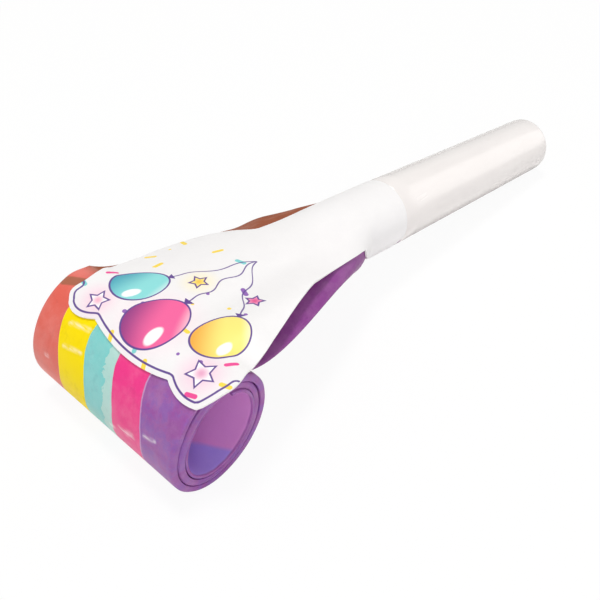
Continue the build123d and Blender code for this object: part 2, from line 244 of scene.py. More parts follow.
class Bench:
    """A node tree on the bench: makes nodes, sets sockets and joins wires."""

    def __init__(self, tree: bpy.types.NodeTree) -> None:
        """Keep the tree that is being wired."""
        self.tree = tree

    def node(self, kind: str, inputs: dict | None = None, **settings: object) -> bpy.types.Node:
        """Add a node.

        Args:
            kind: Blender's type name of the node.
            inputs: Values or wires for its input sockets, by name or place.
            settings: Attributes of the node itself.

        Returns:
            The node.
        """
        made = self.tree.nodes.new(kind)
        for name, value in settings.items():
            setattr(made, name, value)
        for name, value in (inputs or {}).items():
            plug(self.tree, made.inputs[name], value)
        return made

    def out(self, node: bpy.types.Node, name: str | int = 0) -> Wire:
        """Take one output of a node as a wire."""
        return Wire(self.tree, node.outputs[name])

    def split(self, vector: Wire) -> tuple[Wire, Wire, Wire]:
        """Part a vector into its three numbers."""
        node = self.node("ShaderNodeSeparateXYZ", {0: vector})
        return self.out(node, 0), self.out(node, 1), self.out(node, 2)

    def join(self, x: Wire | float, y: Wire | float, z: Wire | float = 0.0) -> Wire:
        """Make a vector of three numbers."""
        return self.out(self.node("ShaderNodeCombineXYZ", {0: x, 1: y, 2: z}))

    def noise(self, vector: Wire, scale: float, detail: float = 2.0, roughness: float = 0.5) -> Wire:
        """Add a noise texture.

        Args:
            vector: Where on the surface.
            scale: Waves to a unit of the vector.
            detail: Octaves.
            roughness: Strength of the finer octaves.

        Returns:
            The noise, from 0 to 1 with its middle near 0.5.
        """
        sockets = {"Vector": vector, "Scale": scale, "Detail": detail, "Roughness": roughness}
        return self.out(self.node("ShaderNodeTexNoise", sockets), 0)

    def mix(
        self, share: Wire | float, first: Wire | Colour, last: Wire | Colour, kind: str = "MIX"
    ) -> Wire:
        """Mix two colours.

        Args:
            share: How much of the last colour.
            first: Colour at 0.
            last: Colour at 1.
            kind: Blender's name of the way they mix.

        Returns:
            The mixed colour.
        """
        sockets = {0: share, 6: first, 7: last}
        node = self.node("ShaderNodeMix", sockets, data_type="RGBA", blend_type=kind, clamp_result=True)
        return self.out(node, 2)

    def bands(self, share: Wire, stops: list[tuple[float, Colour]], kind: str = "CONSTANT") -> Wire:
        """Colour a value by a ramp.

        Args:
            share: Value from 0 to 1.
            stops: Places on the ramp and their colours.
            kind: How colours between two stops are found.

        Returns:
            The colour.
        """
        node = self.node("ShaderNodeValToRGB", {0: share})
        ramp = node.color_ramp
        ramp.interpolation = kind
        while len(ramp.elements) < len(stops):
            ramp.elements.new(1.0)
        for element, (place, colour) in zip(ramp.elements, stops):
            element.position = place
            element.color = colour
        return self.out(node, 0)


class Group(Bench):
    """A shared node group with named inputs and outputs, built once."""

    def __init__(self, name: str, takes: dict[str, object], gives: dict[str, str]) -> None:
        """Make the group's sockets.

        Args:
            name: Name of the group.
            takes: Input names with their default values, where None stands for a vector.
            gives: Output names with their socket kinds.
        """
        super().__init__(bpy.data.node_groups.new(name, "ShaderNodeTree"))
        for title, value in takes.items():
            kind = "Vector" if value is None else "Color" if isinstance(value, tuple) else "Float"
            socket = self.tree.interface.new_socket(title, in_out="INPUT", socket_type=f"NodeSocket{kind}")
            if value is not None:
                socket.default_value = value
        for title, kind in gives.items():
            self.tree.interface.new_socket(title, in_out="OUTPUT", socket_type=f"NodeSocket{kind}")
        self.given = self.node("NodeGroupInput")
        self.result = self.node("NodeGroupOutput")

    def take(self, name: str) -> Wire:
        """One of the group's inputs."""
        return self.out(self.given, name)

    def give(self, name: str, wire: Wire) -> None:
        """Join a wire to one of the group's outputs."""
        self.tree.links.new(wire.socket, self.result.inputs[name])

    def place(self, bench: Bench, inputs: dict[str, object]) -> bpy.types.Node:
        """Put the group into another tree.

        Args:
            bench: The tree that uses it.
            inputs: Values or wires for its inputs.

        Returns:
            The group's node there.
        """
        return bench.node("ShaderNodeGroup", inputs, node_tree=self.tree)


class SharedEffects:
    """The shader node groups that more than one finish uses."""

    PLACE = {"Along": 0.0, "Across": 0.0}
    MOTIF = {**PLACE, "Centre Along": 0.0, "Centre Across": 0.0, "Turn": 0.0}
    INKS = {"Ink": BLACK, "Under": WHITE}
    BLUR = 0.08
    STRAND_BLUR = 0.12
    KNOT_BLUR = 0.03

    def __init__(self) -> None:
        """Build each group once."""
        self.fibre = self._fibre()
        self.skin = self._skin()
        self.scatter = self._scatter()
        self.mark = self._mark()
        self.star = self._star()
        self.balloon = self._balloon()
        self.strand = self._strand()

    @staticmethod
    def _fibre() -> Group:
        """Paper: a cloudy tone and a height of short fibres."""
        made = Group("paper_fibre", {"Vector": None, "Grain": 1.0}, {"Tone": "Float", "Height": "Float"})
        here = made.take("Vector")
        grain = made.take("Grain")
        cloud = made.noise(here, 260.0, 3.0, 0.6)
        x, y, z = made.split(here)
        felt = made.noise(made.join(x * grain, y * grain * 0.35, z * grain), 5200.0, 2.0, 0.6)
        tooth = made.noise(here, 9000.0, 1.0)
        made.give("Tone", (cloud - 0.5) * 0.7 + (felt - 0.5) * 0.5 + 0.5)
        made.give("Height", felt * 0.7 + tooth * 0.3)
        return made

    @staticmethod
    def _skin() -> Group:
        """Moulded plastic: a slow tone, a fine skin and the flow lines of the mould."""
        made = Group("moulded_skin", {"Vector": None, "Flow": 1.0}, {"Tone": "Float", "Height": "Float"})
        here = made.take("Vector")
        x, y, z = made.split(here)
        flow = made.noise(made.join(x * 0.06, y, z), 420.0, 3.0, 0.55)
        slow = made.noise(here, 70.0, 2.0)
        peel = made.noise(here, 1500.0, 1.0)
        made.give("Tone", (flow - 0.5) * made.take("Flow") + (slow - 0.5) * 0.8 + 0.5)
        made.give("Height", peel * 0.6 + flow * 0.4)
        return made

    @staticmethod
    def _scatter() -> Group:
        """Cells with one loose spot each: the place from the spot, and three numbers by lot."""
        gives = {name: "Float" for name in ("X", "Y", "Pick A", "Pick B", "Pick C")}
        made = Group("loose_scatter", {"Along": 0.0, "Across": 0.0, "Cell": 5.0}, gives)
        cell = made.take("Cell")
        here = made.join(made.take("Along") / cell, made.take("Across") / cell)
        spots = made.node(
            "ShaderNodeTexVoronoi",
            {"Vector": here, "Scale": 1.0, "Randomness": 0.75},
            voronoi_dimensions="2D",
        )
        spot_x, spot_y, _ = made.split(made.out(spots, "Position"))
        lots = made.node("ShaderNodeSeparateColor", {0: made.out(spots, "Color")})
        here_x, here_y, _ = made.split(here)
        made.give("X", (here_x - spot_x) * cell)
        made.give("Y", (here_y - spot_y) * cell)
        for place, name in enumerate(("Pick A", "Pick B", "Pick C")):
            made.give(name, made.out(lots, place))
        return made

    @staticmethod
    def _turned(made: Group) -> tuple[Wire, Wire]:
        """Place on a printed motif, from its own centre and turned its own way.

        Args:
            made: The motif's group.

        Returns:
            The place along and across the motif, in millimetres.
        """
        x = made.take("Along") - made.take("Centre Along")
        y = made.take("Across") - made.take("Centre Across")
        turn = made.take("Turn")
        return x * turn.cos() + y * turn.sin(), y * turn.cos() - x * turn.sin()

    @staticmethod
    def _inked(outside: Wire, blur: Wire | float) -> Wire:
        """1 inside an outline and 0 outside it, with a little blur between."""
        return (0.5 - outside / blur).clipped()

    @classmethod
    def _mark(cls) -> Group:
        """A printed dot or dash with a hard or a soft edge, laid over what is under it."""
        sizes = {"Half Length": 0.0, "Radius": 1.0, "Softness": 0.1, "Strength": 1.0}
        made = Group("printed_mark", {**cls.MOTIF, **sizes, **cls.INKS}, {"Colour": "Color"})
        x, y = cls._turned(made)
        beyond = (abs(x) - made.take("Half Length")).most(0.0)
        away = (beyond * beyond + y * y).sqrt() - made.take("Radius")
        share = cls._inked(away, made.take("Softness"))
        share = share * share * (3.0 - share * 2.0) * made.take("Strength")
        made.give("Colour", made.mix(share, made.take("Under"), made.take("Ink")))
        return made

    @classmethod
    def _star(cls) -> Group:
        """A printed five-pointed star with an outline and a soft tint at its middle."""
        sizes = {"Radius": 2.0, "Line": 0.25, "Fill": WHITE, "Tint": WHITE}
        made = Group("printed_star", {**cls.MOTIF, **sizes, **cls.INKS}, {"Colour": "Color"})
        points, spare_turns, waist, inset = 5, 10, 0.52, 0.02
        x, y = cls._turned(made)
        radius = made.take("Radius")
        far = (x * x + y * y).sqrt()
        sector = 2 * math.pi / points
        angle = y.math("ARCTAN2", x)
        folded = abs((angle / sector + (points * spare_turns + 0.5)).math("FRACT") - 0.5) * sector
        point_x, point_y = far * folded.cos(), far * folded.sin()
        dx, dy = waist * math.cos(sector / 2) - 1.0, waist * math.sin(sector / 2)
        size = math.hypot(dx, dy)
        outside = (point_x - radius) * (dy / size) - point_y * (dx / size)
        fill = made.mix((far / radius).eased(0.75, 0.0), made.take("Fill"), made.take("Tint"))
        filled = made.mix(cls._inked(outside, cls.BLUR), made.take("Under"), fill)
        line = cls._inked(abs(outside + inset) - made.take("Line") / 2, cls.BLUR)
        made.give("Colour", made.mix(line, filled, made.take("Ink")))
        return made

    @classmethod
    def _balloon(cls) -> Group:
        """A printed balloon: an egg with a gloss spot, shaded to one side, outlined, with its knot."""
        sizes = {"Half Length": 5.0, "Half Width": 4.0, "Line": 0.35, "Bright": WHITE, "Deep": WHITE}
        made = Group("printed_balloon", {**cls.MOTIF, **sizes, **cls.INKS}, {"Colour": "Color"})
        taper, knot_length, knot_spread, knot_neck = 0.16, 0.17, 1.2, 0.05
        x, y = cls._turned(made)
        half = made.take("Half Length")
        x, y = x / half, y / (made.take("Half Width") * (x / half * taper + 1.0))
        shade = (x * 0.45 + y * 0.75).eased(-0.15, 0.95)
        body = made.mix(shade, made.take("Bright"), made.take("Deep"))
        rim = (x * -0.55 + y * -0.8).eased(0.55, 1.05)
        body = made.mix(rim * 0.45, body, WHITE)
        gloss_x, gloss_y = x * 2.6 - 1.15, y * 4.2 + 1.75
        gloss = (gloss_x * gloss_x + gloss_y * gloss_y).sqrt().eased(1.0, 0.72)
        body = made.mix(gloss * 0.92, body, WHITE)
        knot_x = x + 1.0
        knot_wide = abs(y) - (knot_x * -knot_spread + knot_neck)
        knot = cls._inked(knot_wide, cls.KNOT_BLUR) * knot_x.over(-knot_length) * knot_x.under(0.0)
        colour = made.mix(knot, made.take("Under"), made.take("Ink"))
        outside = ((x * x + y * y).sqrt() - 1.0) * half
        colour = made.mix(cls._inked(outside, cls.BLUR), colour, body)
        line = cls._inked(abs(outside) - made.take("Line") / 2, cls.BLUR)
        made.give("Colour", made.mix(line, colour, made.take("Ink")))
        return made

    @classmethod
    def _strand(cls) -> Group:
        """A printed string or streamer: a wavy line between two places along the card."""
        course = {"From Along": 0.0, "To Along": 10.0, "From Across": 0.0, "To Across": 0.0}
        sizes = {"Wave": 1.0, "Waves": 2.0, "Half Width": 0.2}
        takes = {**cls.PLACE, **course, **sizes, **cls.INKS}
        made = Group("printed_strand", takes, {"Colour": "Color"})
        run = made.take("To Along") - made.take("From Along")
        share = (made.take("Along") - made.take("From Along")) / run
        swing = (share * made.take("Waves") * (2 * math.pi)).sin() * made.take("Wave")
        swing = swing * share.eased(1.02, 0.7)
        middle = made.take("From Across") + (made.take("To Across") - made.take("From Across")) * share
        away = abs(made.take("Across") - middle - swing) - made.take("Half Width")
        within = share.eased(0.0, 0.015) * share.eased(1.0, 0.985)
        line = cls._inked(away, cls.STRAND_BLUR) * within
        made.give("Colour", made.mix(line, made.take("Under"), made.take("Ink")))
        return made


class Finish(Bench):
    """A material under construction, with its Principled shader ready."""

    def __init__(self, name: str) -> None:
        """Start a material.

        Args:
            name: Name of the material.
        """
        self.material = bpy.data.materials.new(name)
        self.material.use_nodes = True
        super().__init__(self.material.node_tree)
        self.tree.nodes.clear()
        self.shader = self.node("ShaderNodeBsdfPrincipled")
        output = self.node("ShaderNodeOutputMaterial")
        self.tree.links.new(self.shader.outputs[0], output.inputs["Surface"])

    def plain(self, values: dict[str, object]) -> None:
        """Set values that are the same all over straight on the shader's sockets."""
        for name, value in values.items():
            self.shader.inputs[name].default_value = value

    def feed(self, name: str, wire: Wire) -> None:
        """Join a wire to one of the shader's sockets."""
        self.tree.links.new(wire.socket, self.shader.inputs[name])

    def bump(self, height: Wire, strength: float, distance: float) -> None:
        """Raise the surface's grain.

        Args:
            height: Height of the grain.
            strength: Share of its full effect.
            distance: Height of the grain in metres.
        """
        node = self.node("ShaderNodeBump", {"Height": height, "Strength": strength, "Distance": distance})
        self.feed("Normal", self.out(node))

    def place(self) -> Wire:
        """Object coordinates."""
        return self.out(self.node("ShaderNodeTexCoord"), "Object")

    def uv(self) -> tuple[Wire, Wire]:
        """The piece's own UV map, as two numbers."""
        x, y, _ = self.split(self.out(self.node("ShaderNodeUVMap", uv_map="UVMap")))
        return x, y


class Recipe:
    """What a material is made from."""

    name: str

    def wire(self, finish: Finish, shared: SharedEffects) -> None:
        """Wire the finish, which each recipe does its own way."""
        raise NotImplementedError

    def material(self, shared: SharedEffects) -> bpy.types.Material:
        """Make the material.

        Args:
            shared: The shared node groups.

        Returns:
            The material.
        """
        finish = Finish(self.name)
        self.wire(finish, shared)
        return finish.material


class Press:
    """Prints motifs one over another on a sheet."""

    def __init__(self, finish: Finish, along: Wire, across: Wire, colour: Wire) -> None:
        """Put a sheet on the press.

        Args:
            finish: The sheet's material.
            along: Place along the sheet in millimetres.
            across: Place across the sheet in millimetres.
            colour: The sheet before printing.
        """
        self.finish = finish
        self.place = {"Along": along, "Across": across}
        self.colour = colour

    def lay(self, group: Group, values: dict[str, object]) -> None:
        """Lay one motif over what is printed so far.

        Args:
            group: The motif's node group.
            values: Values for its inputs, with inks as wires or hex digits.
        """
        inks = {name: paint(value) for name, value in values.items() if isinstance(value, str)}
        inputs = {**self.place, **values, **inks, "Under": self.colour}
        self.colour = self.finish.out(group.place(self.finish, inputs))


@dataclass(frozen=True)
class StripedPaper(Recipe):
    """Glazed paper with five painted stripes, from the near edge of the tube to the far one."""

    name: str = "striped_paper"
    near_to_far: tuple[str, ...] = ("914A97", "E82C81", "74C6C3", "F8DC00", "DA5B4C")
    starts: tuple[float, ...] = (0.0, 0.2, 0.393, 0.586, 0.778)
    width: float = 36.8
    pale: str = "A9D3CB"
    pale_end: float = 0.455
    seam: str = "C79AC6"
    violet: str = "6F58AC"
    # Painted shade: brown for the tube's far side before the roll, where the card's shade falls.
    far_painted_shade: str = "9A5C46"
    far_side: float = 0.75
    shadow: str = "96583C"
    shadow_at: Pair = (3.7, 34.4)
    shadow_turn: float = 1.05
    shadow_size: Pair = (2.2, 0.95)
    # Painted shade: tint multiplied over the near half of the throat to darken it.
    throat: str = "E3C8E0"
    # Painted light and shade: the inside of the roll's core is painted a light lilac, turning blue-violet
    # lower down.
    core_painted_light: str = "E799DA"
    core_painted_shade: str = "A898EE"
    core_turns: float = 1.75
    core_shade: Pair = (146.4, 145.2)
    core_end: float = 0.6
    wash: float = 0.07
    roughness: float = 0.36
    sparkle: str = "FFFDF8"
    sparkle_cell: float = 8.5
    sparkle_start: float = 24.0
    outer_turn: float = 62.0
    drift: float = 0.075
    drift_start: float = 8.0
    drift_end: float = 18.0
    # White glints at fixed places on the outer turn: partly the print's sparkle, partly painted highlight.
    glint_turn: float = 1.36
    glints: tuple[tuple[float, float, float, float], ...] = (
        (16.8, 32.3, 0.3, 0.5),
        (9.2, 27.2, 2.2, 0.5),
        (12.8, 26.5, 2.1, 0.45),
        (19.9, 14.6, 0.4, 0.6),
        (18.6, 10.9, 1.4, 0.9),
        (16.0, 5.5, 1.3, 0.4),
    )

    def wire(self, finish: Finish, shared: SharedEffects) -> None:
        """Wire the finish."""
        along, across = finish.uv()
        along = along * UV_SPAN
        width = across * self.width
        flat = finish.join(along, width)
        wobble = finish.noise(flat, 0.35, 3.0, 0.6)
        drift = along.eased(self.drift_end, self.drift_start) * self.drift
        edge = across + (wobble - 0.5) * 0.010 - drift
        stops = [(start, paint(code)) for start, code in zip(self.starts, self.near_to_far)]
        colour = finish.bands(edge, stops)
        ripple = finish.noise(flat, 0.55, 2.0, 0.55)
        washed = edge.over(self.starts[2]) * (edge + (ripple - 0.5) * 0.09).under(self.pale_end)
        colour = finish.mix(washed, colour, paint(self.pale))
        # Painted shade: the far side of the throat and the flat ribbon turn brown, as in the card's shade.
        shaded = across.over(self.far_side) * along.eased(1.5, -1.5)
        colour = finish.mix(shaded, colour, paint(self.far_painted_shade))
        seam = abs(edge - self.starts[1]).eased(0.006, 0.001)
        colour = finish.mix(seam * 0.75, colour, paint(self.seam))
        cloud = finish.noise(flat, 0.22, 4.0, 0.62)
        yellow = edge.over(self.starts[3]) * edge.under(self.starts[4])
        wash = cloud.eased(0.35, 0.7) * (1.0 - yellow * 0.9) * self.wash
        colour = finish.mix(wash, colour, paint("FFF4F2"), "SCREEN")
        blot = finish.noise(finish.join(along, width, 3.7), 0.4, 5.0, 0.7)
        colour = finish.mix(blot.eased(0.5, 0.75) * 0.16, colour, paint("8A5C92"), "MULTIPLY")
        under = finish.out(finish.node("ShaderNodeAttribute", attribute_name="underside"), "Fac").over(0.5)
        # Painted light and shade: inner faces deep in the core get a light lilac, blue-violet towards its
        # lower part.
        core = under * along.over(self.outer_turn * self.core_turns)
        shade = (along + width * 0.5).eased(*self.core_shade) * 0.9
        core_painted_light = finish.mix(shade, paint(self.core_painted_light), paint(self.core_painted_shade))
        painted_core_mask = core * edge.eased(0.003, 0.015) * edge.under(self.core_end)
        colour = finish.mix(painted_core_mask, colour, core_painted_light)
        # Painted shade: the near half of the throat, before the roll, is darkened by the multiplied tint.
        throat = along.eased(1.0, -4.0) * across.under(0.5)
        colour = finish.mix(throat, colour, paint(self.throat), "MULTIPLY")
        purple = edge.under(self.starts[1])
        bluish = purple * blot.eased(0.58, 0.4) * (1.0 - core) * (1.0 - throat)
        colour = finish.mix(bluish * 0.4, colour, paint(self.violet))
        fleck = finish.noise(flat, 5.0, 2.0, 0.7)
        flecked = fleck.eased(0.6, 0.72) * (1.0 - yellow) * 0.3
        colour = finish.mix(flecked, colour, paint("FFEDE6"), "SOFT_LIGHT")
        colour = self._sparkles(finish, shared, along, width, colour)
        fibre = shared.fibre.place(finish, {"Vector": finish.place(), "Grain": 1.0})
        tone = finish.out(fibre, "Tone")
        colour = finish.mix(tone.eased(0.2, 0.8) * 0.10, colour, paint("FFFFFF"), "OVERLAY")
        finish.feed("Base Color", colour)
        finish.feed("Roughness", (tone - 0.5) * 0.25 + (cloud - 0.5) * 0.15 + self.roughness)
        finish.bump(finish.out(fibre, "Height"), 0.25, 0.00004)
        finish.feed("Specular IOR Level", 0.4 - yellow * 0.32 - throat * 0.2 - shaded * 0.4)

    def _sparkles(
        self, finish: Finish, shared: SharedEffects, along: Wire, width: Wire, colour: Wire
    ) -> Wire:
        """Lay soft white sparkles with fine rays over the stripes, then glints that are partly painted
        highlight, and the card's painted shadow, at fixed places.

        Args:
            finish: The material.
            shared: The shared node groups.
            along: Place along the tube in millimetres.
            width: Place across the tube in millimetres.
            colour: The stripes.

        Returns:
            The stripes with glints.
        """
        cells = {"Along": along, "Across": width, "Cell": self.sparkle_cell}
        spots = shared.scatter.place(finish, cells)
        x, y = finish.out(spots, "X"), finish.out(spots, "Y")
        size = finish.out(spots, "Pick A")
        outside = along.under(self.outer_turn) * along.over(self.sparkle_start)
        chosen = finish.out(spots, "Pick B").over(0.45) * outside
        slant = x * 0.82 + y * 0.57, y * 0.82 - x * 0.57
        far = (slant[0] * slant[0] * 0.16 + slant[1] * slant[1]).sqrt()
        haze = (far / (size * 0.8 + 0.7)).eased(1.0, 0.0) * 0.55
        rays = (abs(x * y) * 9.0 + (x * x + y * y) * 0.9).eased(1.0, 0.0) * size.over(0.5) * 0.8
        grain = finish.noise(finish.join(along, width, 9.1), 1.8, 3.0, 0.7)
        glow = (haze * grain.eased(0.3, 0.62) + rays).clipped() * chosen
        colour = finish.mix(glow, colour, paint(self.sparkle))
        broken = finish.noise(finish.join(along * 2.2, width * 0.5, 4.3), 0.9, 2.0, 0.6)
        press = Press(finish, along, width, colour)
        # Partly painted highlight: white glints at fixed places, over the print's sparkle.
        for place, across, half_length, radius in self.glints:
            glint = {
                "Centre Along": place,
                "Centre Across": across,
                "Turn": self.glint_turn,
                "Half Length": half_length,
                "Radius": radius * 0.2,
                "Softness": radius * 2.4,
                "Strength": broken.eased(0.3, 0.62) * 0.85,
                "Ink": self.sparkle,
            }
            press.lay(shared.mark, glint)
        shadow = {
            "Centre Along": self.shadow_at[0],
            "Centre Across": self.shadow_at[1],
            "Turn": self.shadow_turn,
            "Half Length": self.shadow_size[0],
            "Radius": self.shadow_size[1],
            "Softness": 0.4,
            "Strength": 0.9,
            "Ink": self.shadow,
        }
        press.lay(shared.mark, shadow)
        return press.colour


@dataclass(frozen=True)
class Motif:
    """Where a printed motif is and how it is turned."""

    along: float
    across: float
    turn: float

    def centre(self) -> dict[str, object]:
        """The motif's place and turn, as its node group takes them."""
        return {"Centre Along": self.along, "Centre Across": self.across, "Turn": self.turn}


@dataclass(frozen=True)
class Balloon(Motif):
    """One printed balloon: its place, its size and its two colours."""

    half_length: float
    half_width: float
    bright: str
    deep: str

    def knot(self) -> Pair:
        """Place along and across where its string is tied on."""
        reach = self.half_length * 1.12
        return self.along - reach * math.cos(self.turn), self.across - reach * math.sin(self.turn)


@dataclass(frozen=True)
class Star(Motif):
    """One printed star: its place, its size and its colours."""

    radius: float
    fill: str
    tint: str


@dataclass(frozen=True)
class PrintedCard(Recipe):
    """White card with a party print of balloons, stars, streamers and confetti."""

    name: str = "printed_card"
    ink: str = "5B3D8A"
    dark: str = "EBEAEB"
    light: str = "F3F2F2"
    roughness: float = 0.48
    line: float = 0.34
    border: float = 0.95
    confetti_cell: float = 4.3
    confetti_start: Pair = (22.0, 30.0)
    confetti: tuple[tuple[float, str], ...] = (
        (0.0, "EC4B95"),
        (0.25, "7FD0CF"),
        (0.5, "F8D94A"),
        (0.75, "8C5FB0"),
    )
    tied_along: float = 25.0
    tied_across: float = -1.0
    balloons: tuple[Balloon, ...] = (
        Balloon(43.5, 7.6, 0.30, 5.0, 4.1, "8ADBDA", "3D9FB4"),
        Balloon(43.0, -11.2, -0.34, 5.0, 4.1, "FBEA7C", "EFA93C"),
        Balloon(47.5, -1.6, -0.04, 6.0, 5.0, "F0609C", "8A2F7C"),
    )
    stars: tuple[Star, ...] = (
        Star(50.9, 9.2, 0.3, 2.0, "FFFFFF", "F3B3C8"),
        Star(50.2, -15.2, 0.9, 2.5, "FFFFFF", "E7A6C6"),
        Star(36.0, 1.6, 0.6, 1.7, "FCE98A", "F6C64A"),
        Star(33.2, -8.2, 0.2, 1.5, "F49ABF", "E24C8C"),
    )
    glows: tuple[tuple[float, float, float, str], ...] = (
        (50.9, 9.2, 5.0, "F6CBDD"),
        (50.2, -15.2, 5.6, "F3C6DC"),
        (47.5, -1.6, 10.0, "F9DCE6"),
        (36.0, 1.6, 4.4, "FBEFC0"),
    )

    def wire(self, finish: Finish, shared: SharedEffects) -> None:
        """Wire the finish."""
        along, across = finish.uv()
        first, middle = (UV_SPAN * part for part in CARD_ORIGIN)
        fibre = shared.fibre.place(finish, {"Vector": finish.place(), "Grain": 0.7})
        tone = finish.out(fibre, "Tone")
        board = finish.mix(tone, paint(self.dark), paint(self.light))
        press = Press(finish, along * UV_SPAN - first, across * UV_SPAN - middle, board)
        self._glow(press, shared)
        self._confetti(press, shared)
        self._strings(press, shared)
        self._motifs(press, shared)
        gap = finish.out(finish.node("ShaderNodeAttribute", attribute_name="front_gap"), "Fac")
        border = (0.5 - (abs(gap - self.border) - self.line / 2) / 0.1).clipped()
        finish.feed("Base Color", finish.mix(border, press.colour, paint(self.ink)))
        finish.feed("Roughness", (tone - 0.5) * 0.2 + self.roughness)
        finish.bump(finish.out(fibre, "Height"), 0.18, 0.00003)
        finish.plain({"Specular IOR Level": 0.4})

    def _glow(self, press: Press, shared: SharedEffects) -> None:
        """Lay soft airbrushed glows behind the stars and the largest balloon.

        Args:
            press: The press with the card on it.
            shared: The shared node groups.
        """
        for along, across, radius, ink in self.glows:
            spot = {
                **Motif(along, across, 0.0).centre(),
                "Radius": radius * 0.5,
                "Softness": radius,
                "Strength": 0.8,
                "Ink": ink,
            }
            press.lay(shared.mark, spot)

    def _confetti(self, press: Press, shared: SharedEffects) -> None:
        """Scatter small dots and dashes over the front of the card.

        Args:
            press: The press with the card on it.
            shared: The shared node groups.
        """
        finish = press.finish
        spots = shared.scatter.place(finish, {**press.place, "Cell": self.confetti_cell})
        lot, hue, kind = (finish.out(spots, name) for name in ("Pick A", "Pick B", "Pick C"))
        ink = finish.bands(hue, [(stop, paint(code)) for stop, code in self.confetti])
        in_front = press.place["Along"].eased(*self.confetti_start).over(0.5)
        dash = {
            "Along": finish.out(spots, "X"),
            "Across": finish.out(spots, "Y"),
            "Turn": kind * 6.28,
            "Half Length": kind.over(0.45) * 0.75,
            "Radius": kind * 0.16 + 0.26,
            "Strength": lot.over(0.38) * in_front,
            "Ink": ink,
        }
        press.lay(shared.mark, dash)

    def _strings(self, press: Press, shared: SharedEffects) -> None:
        """Draw each balloon's string to the place where they are tied.

        Args:
            press: The press with the card on it.
            shared: The shared node groups.
        """
        for number, balloon in enumerate(self.balloons):
            along, across = balloon.knot()
            string = {
                "From Along": self.tied_along,
                "To Along": along,
                "From Across": self.tied_across,
                "To Across": across,
                "Wave": 0.55,
                "Waves": 1.5 + 0.5 * number,
                "Half Width": 0.13,
                "Ink": self.ink,
            }
            press.lay(shared.strand, string)

    def _motifs(self, press: Press, shared: SharedEffects) -> None:
        """Print the balloons and then the stars.

        Args:
            press: The press with the card on it.
            shared: The shared node groups.
        """
        for balloon in self.balloons:
            motif = {
                **balloon.centre(),
                "Half Length": balloon.half_length,
                "Half Width": balloon.half_width,
                "Line": self.line,
                "Bright": balloon.bright,
                "Deep": balloon.deep,
                "Ink": self.ink,
            }
            press.lay(shared.balloon, motif)
        for star in self.stars:
            motif = {
                **star.centre(),
                "Radius": star.radius,
                "Line": self.line * 0.8,
                "Fill": star.fill,
                "Tint": star.tint,
                "Ink": self.ink,
            }
            press.lay(shared.star, motif)


@dataclass(frozen=True)
class Plastic(Recipe):
    """A moulded plastic: two close tones, its gloss and its grain, with painted shade at its grazing edges
    where asked.
    """

    name: str
    dark: str
    light: str
    roughness: float
    coat: float
    flow: float
    grain: float
    # Painted shade: how far the colour darkens where the surface turns away from the view.
    rim: float = 0.0
    grazing_painted_shade: str = "8C8683"
    rim_span: Pair = (0.5, 0.95)

    def wire(self, finish: Finish, shared: SharedEffects) -> None:
        """Wire the finish."""
        skin = shared.skin.place(finish, {"Vector": finish.place(), "Flow": self.flow})
        tone = finish.out(skin, "Tone")
        colour = finish.mix(tone.clipped(), paint(self.dark), paint(self.light))
        if self.rim:
            # Painted shade: darker towards the edges that turn away from the view.
            facing = finish.out(finish.node("ShaderNodeLayerWeight", {"Blend": 0.5}), "Facing")
            rim = facing.eased(*self.rim_span) * self.rim
            colour = finish.mix(rim, colour, paint(self.grazing_painted_shade), "MULTIPLY")
        finish.feed("Base Color", colour)
        finish.feed("Roughness", (tone - 0.5) * 0.12 + self.roughness)
        finish.bump(finish.out(skin, "Height"), 0.2, self.grain)
        finish.plain({"Coat Weight": self.coat, "Coat Roughness": 0.12, "Specular IOR Level": 0.5})


@dataclass(frozen=True)
class PlainPaper(Recipe):
    """Unprinted white paper or card: two close tones, its grain and its roughness."""

    name: str
    dark: str
    light: str
    grain: float
    roughness: float
    height: float

    def wire(self, finish: Finish, shared: SharedEffects) -> None:
        """Wire the finish."""
        fibre = shared.fibre.place(finish, {"Vector": finish.place(), "Grain": self.grain})
        tone = finish.out(fibre, "Tone")
        finish.feed("Base Color", finish.mix(tone, paint(self.dark), paint(self.light)))
        finish.feed("Roughness", (tone - 0.5) * 0.2 + self.roughness)
        finish.bump(finish.out(fibre, "Height"), 0.4, self.height)
        finish.plain({"Specular IOR Level": 0.3})


@dataclass(frozen=True)
class BlowerAxes:
    """Where the blower lies: the collar's rear middle, the way to the mouth and the way up."""

    matrix: Matrix

    @classmethod
    def from_frame(cls, frame: dict, reach: float) -> "BlowerAxes":
        """Read the place of the blower from the frame's mouth bore.

        Args:
            reach: Millimetres from the collar's rear edge to the mouth.

        Returns:
            The blower's axes.
        """
        mount = next(mount for mount in frame["record"]["mounts"] if mount["name"] == "mouth_bore")
        along = Vector(mount["axis"]).normalized()
        across = Vector((0.0, 1.0, 0.0))
        up = along.cross(across)
        mouth = Vector(mount["pos_m"]) + along * mount["dims"]["length_mm"] / 2 * MM
        origin = mouth - along * reach * MM
        turn = Matrix((along, across, up)).transposed().to_4x4()
        return cls(Matrix.Translation(origin) @ turn @ Matrix.Scale(MM, 4))

    def spot(self, u: float, y: float, v: float) -> Vector:
        """A place on the blower, in metres in the frame."""
        return self.matrix @ Vector((u, y, v))


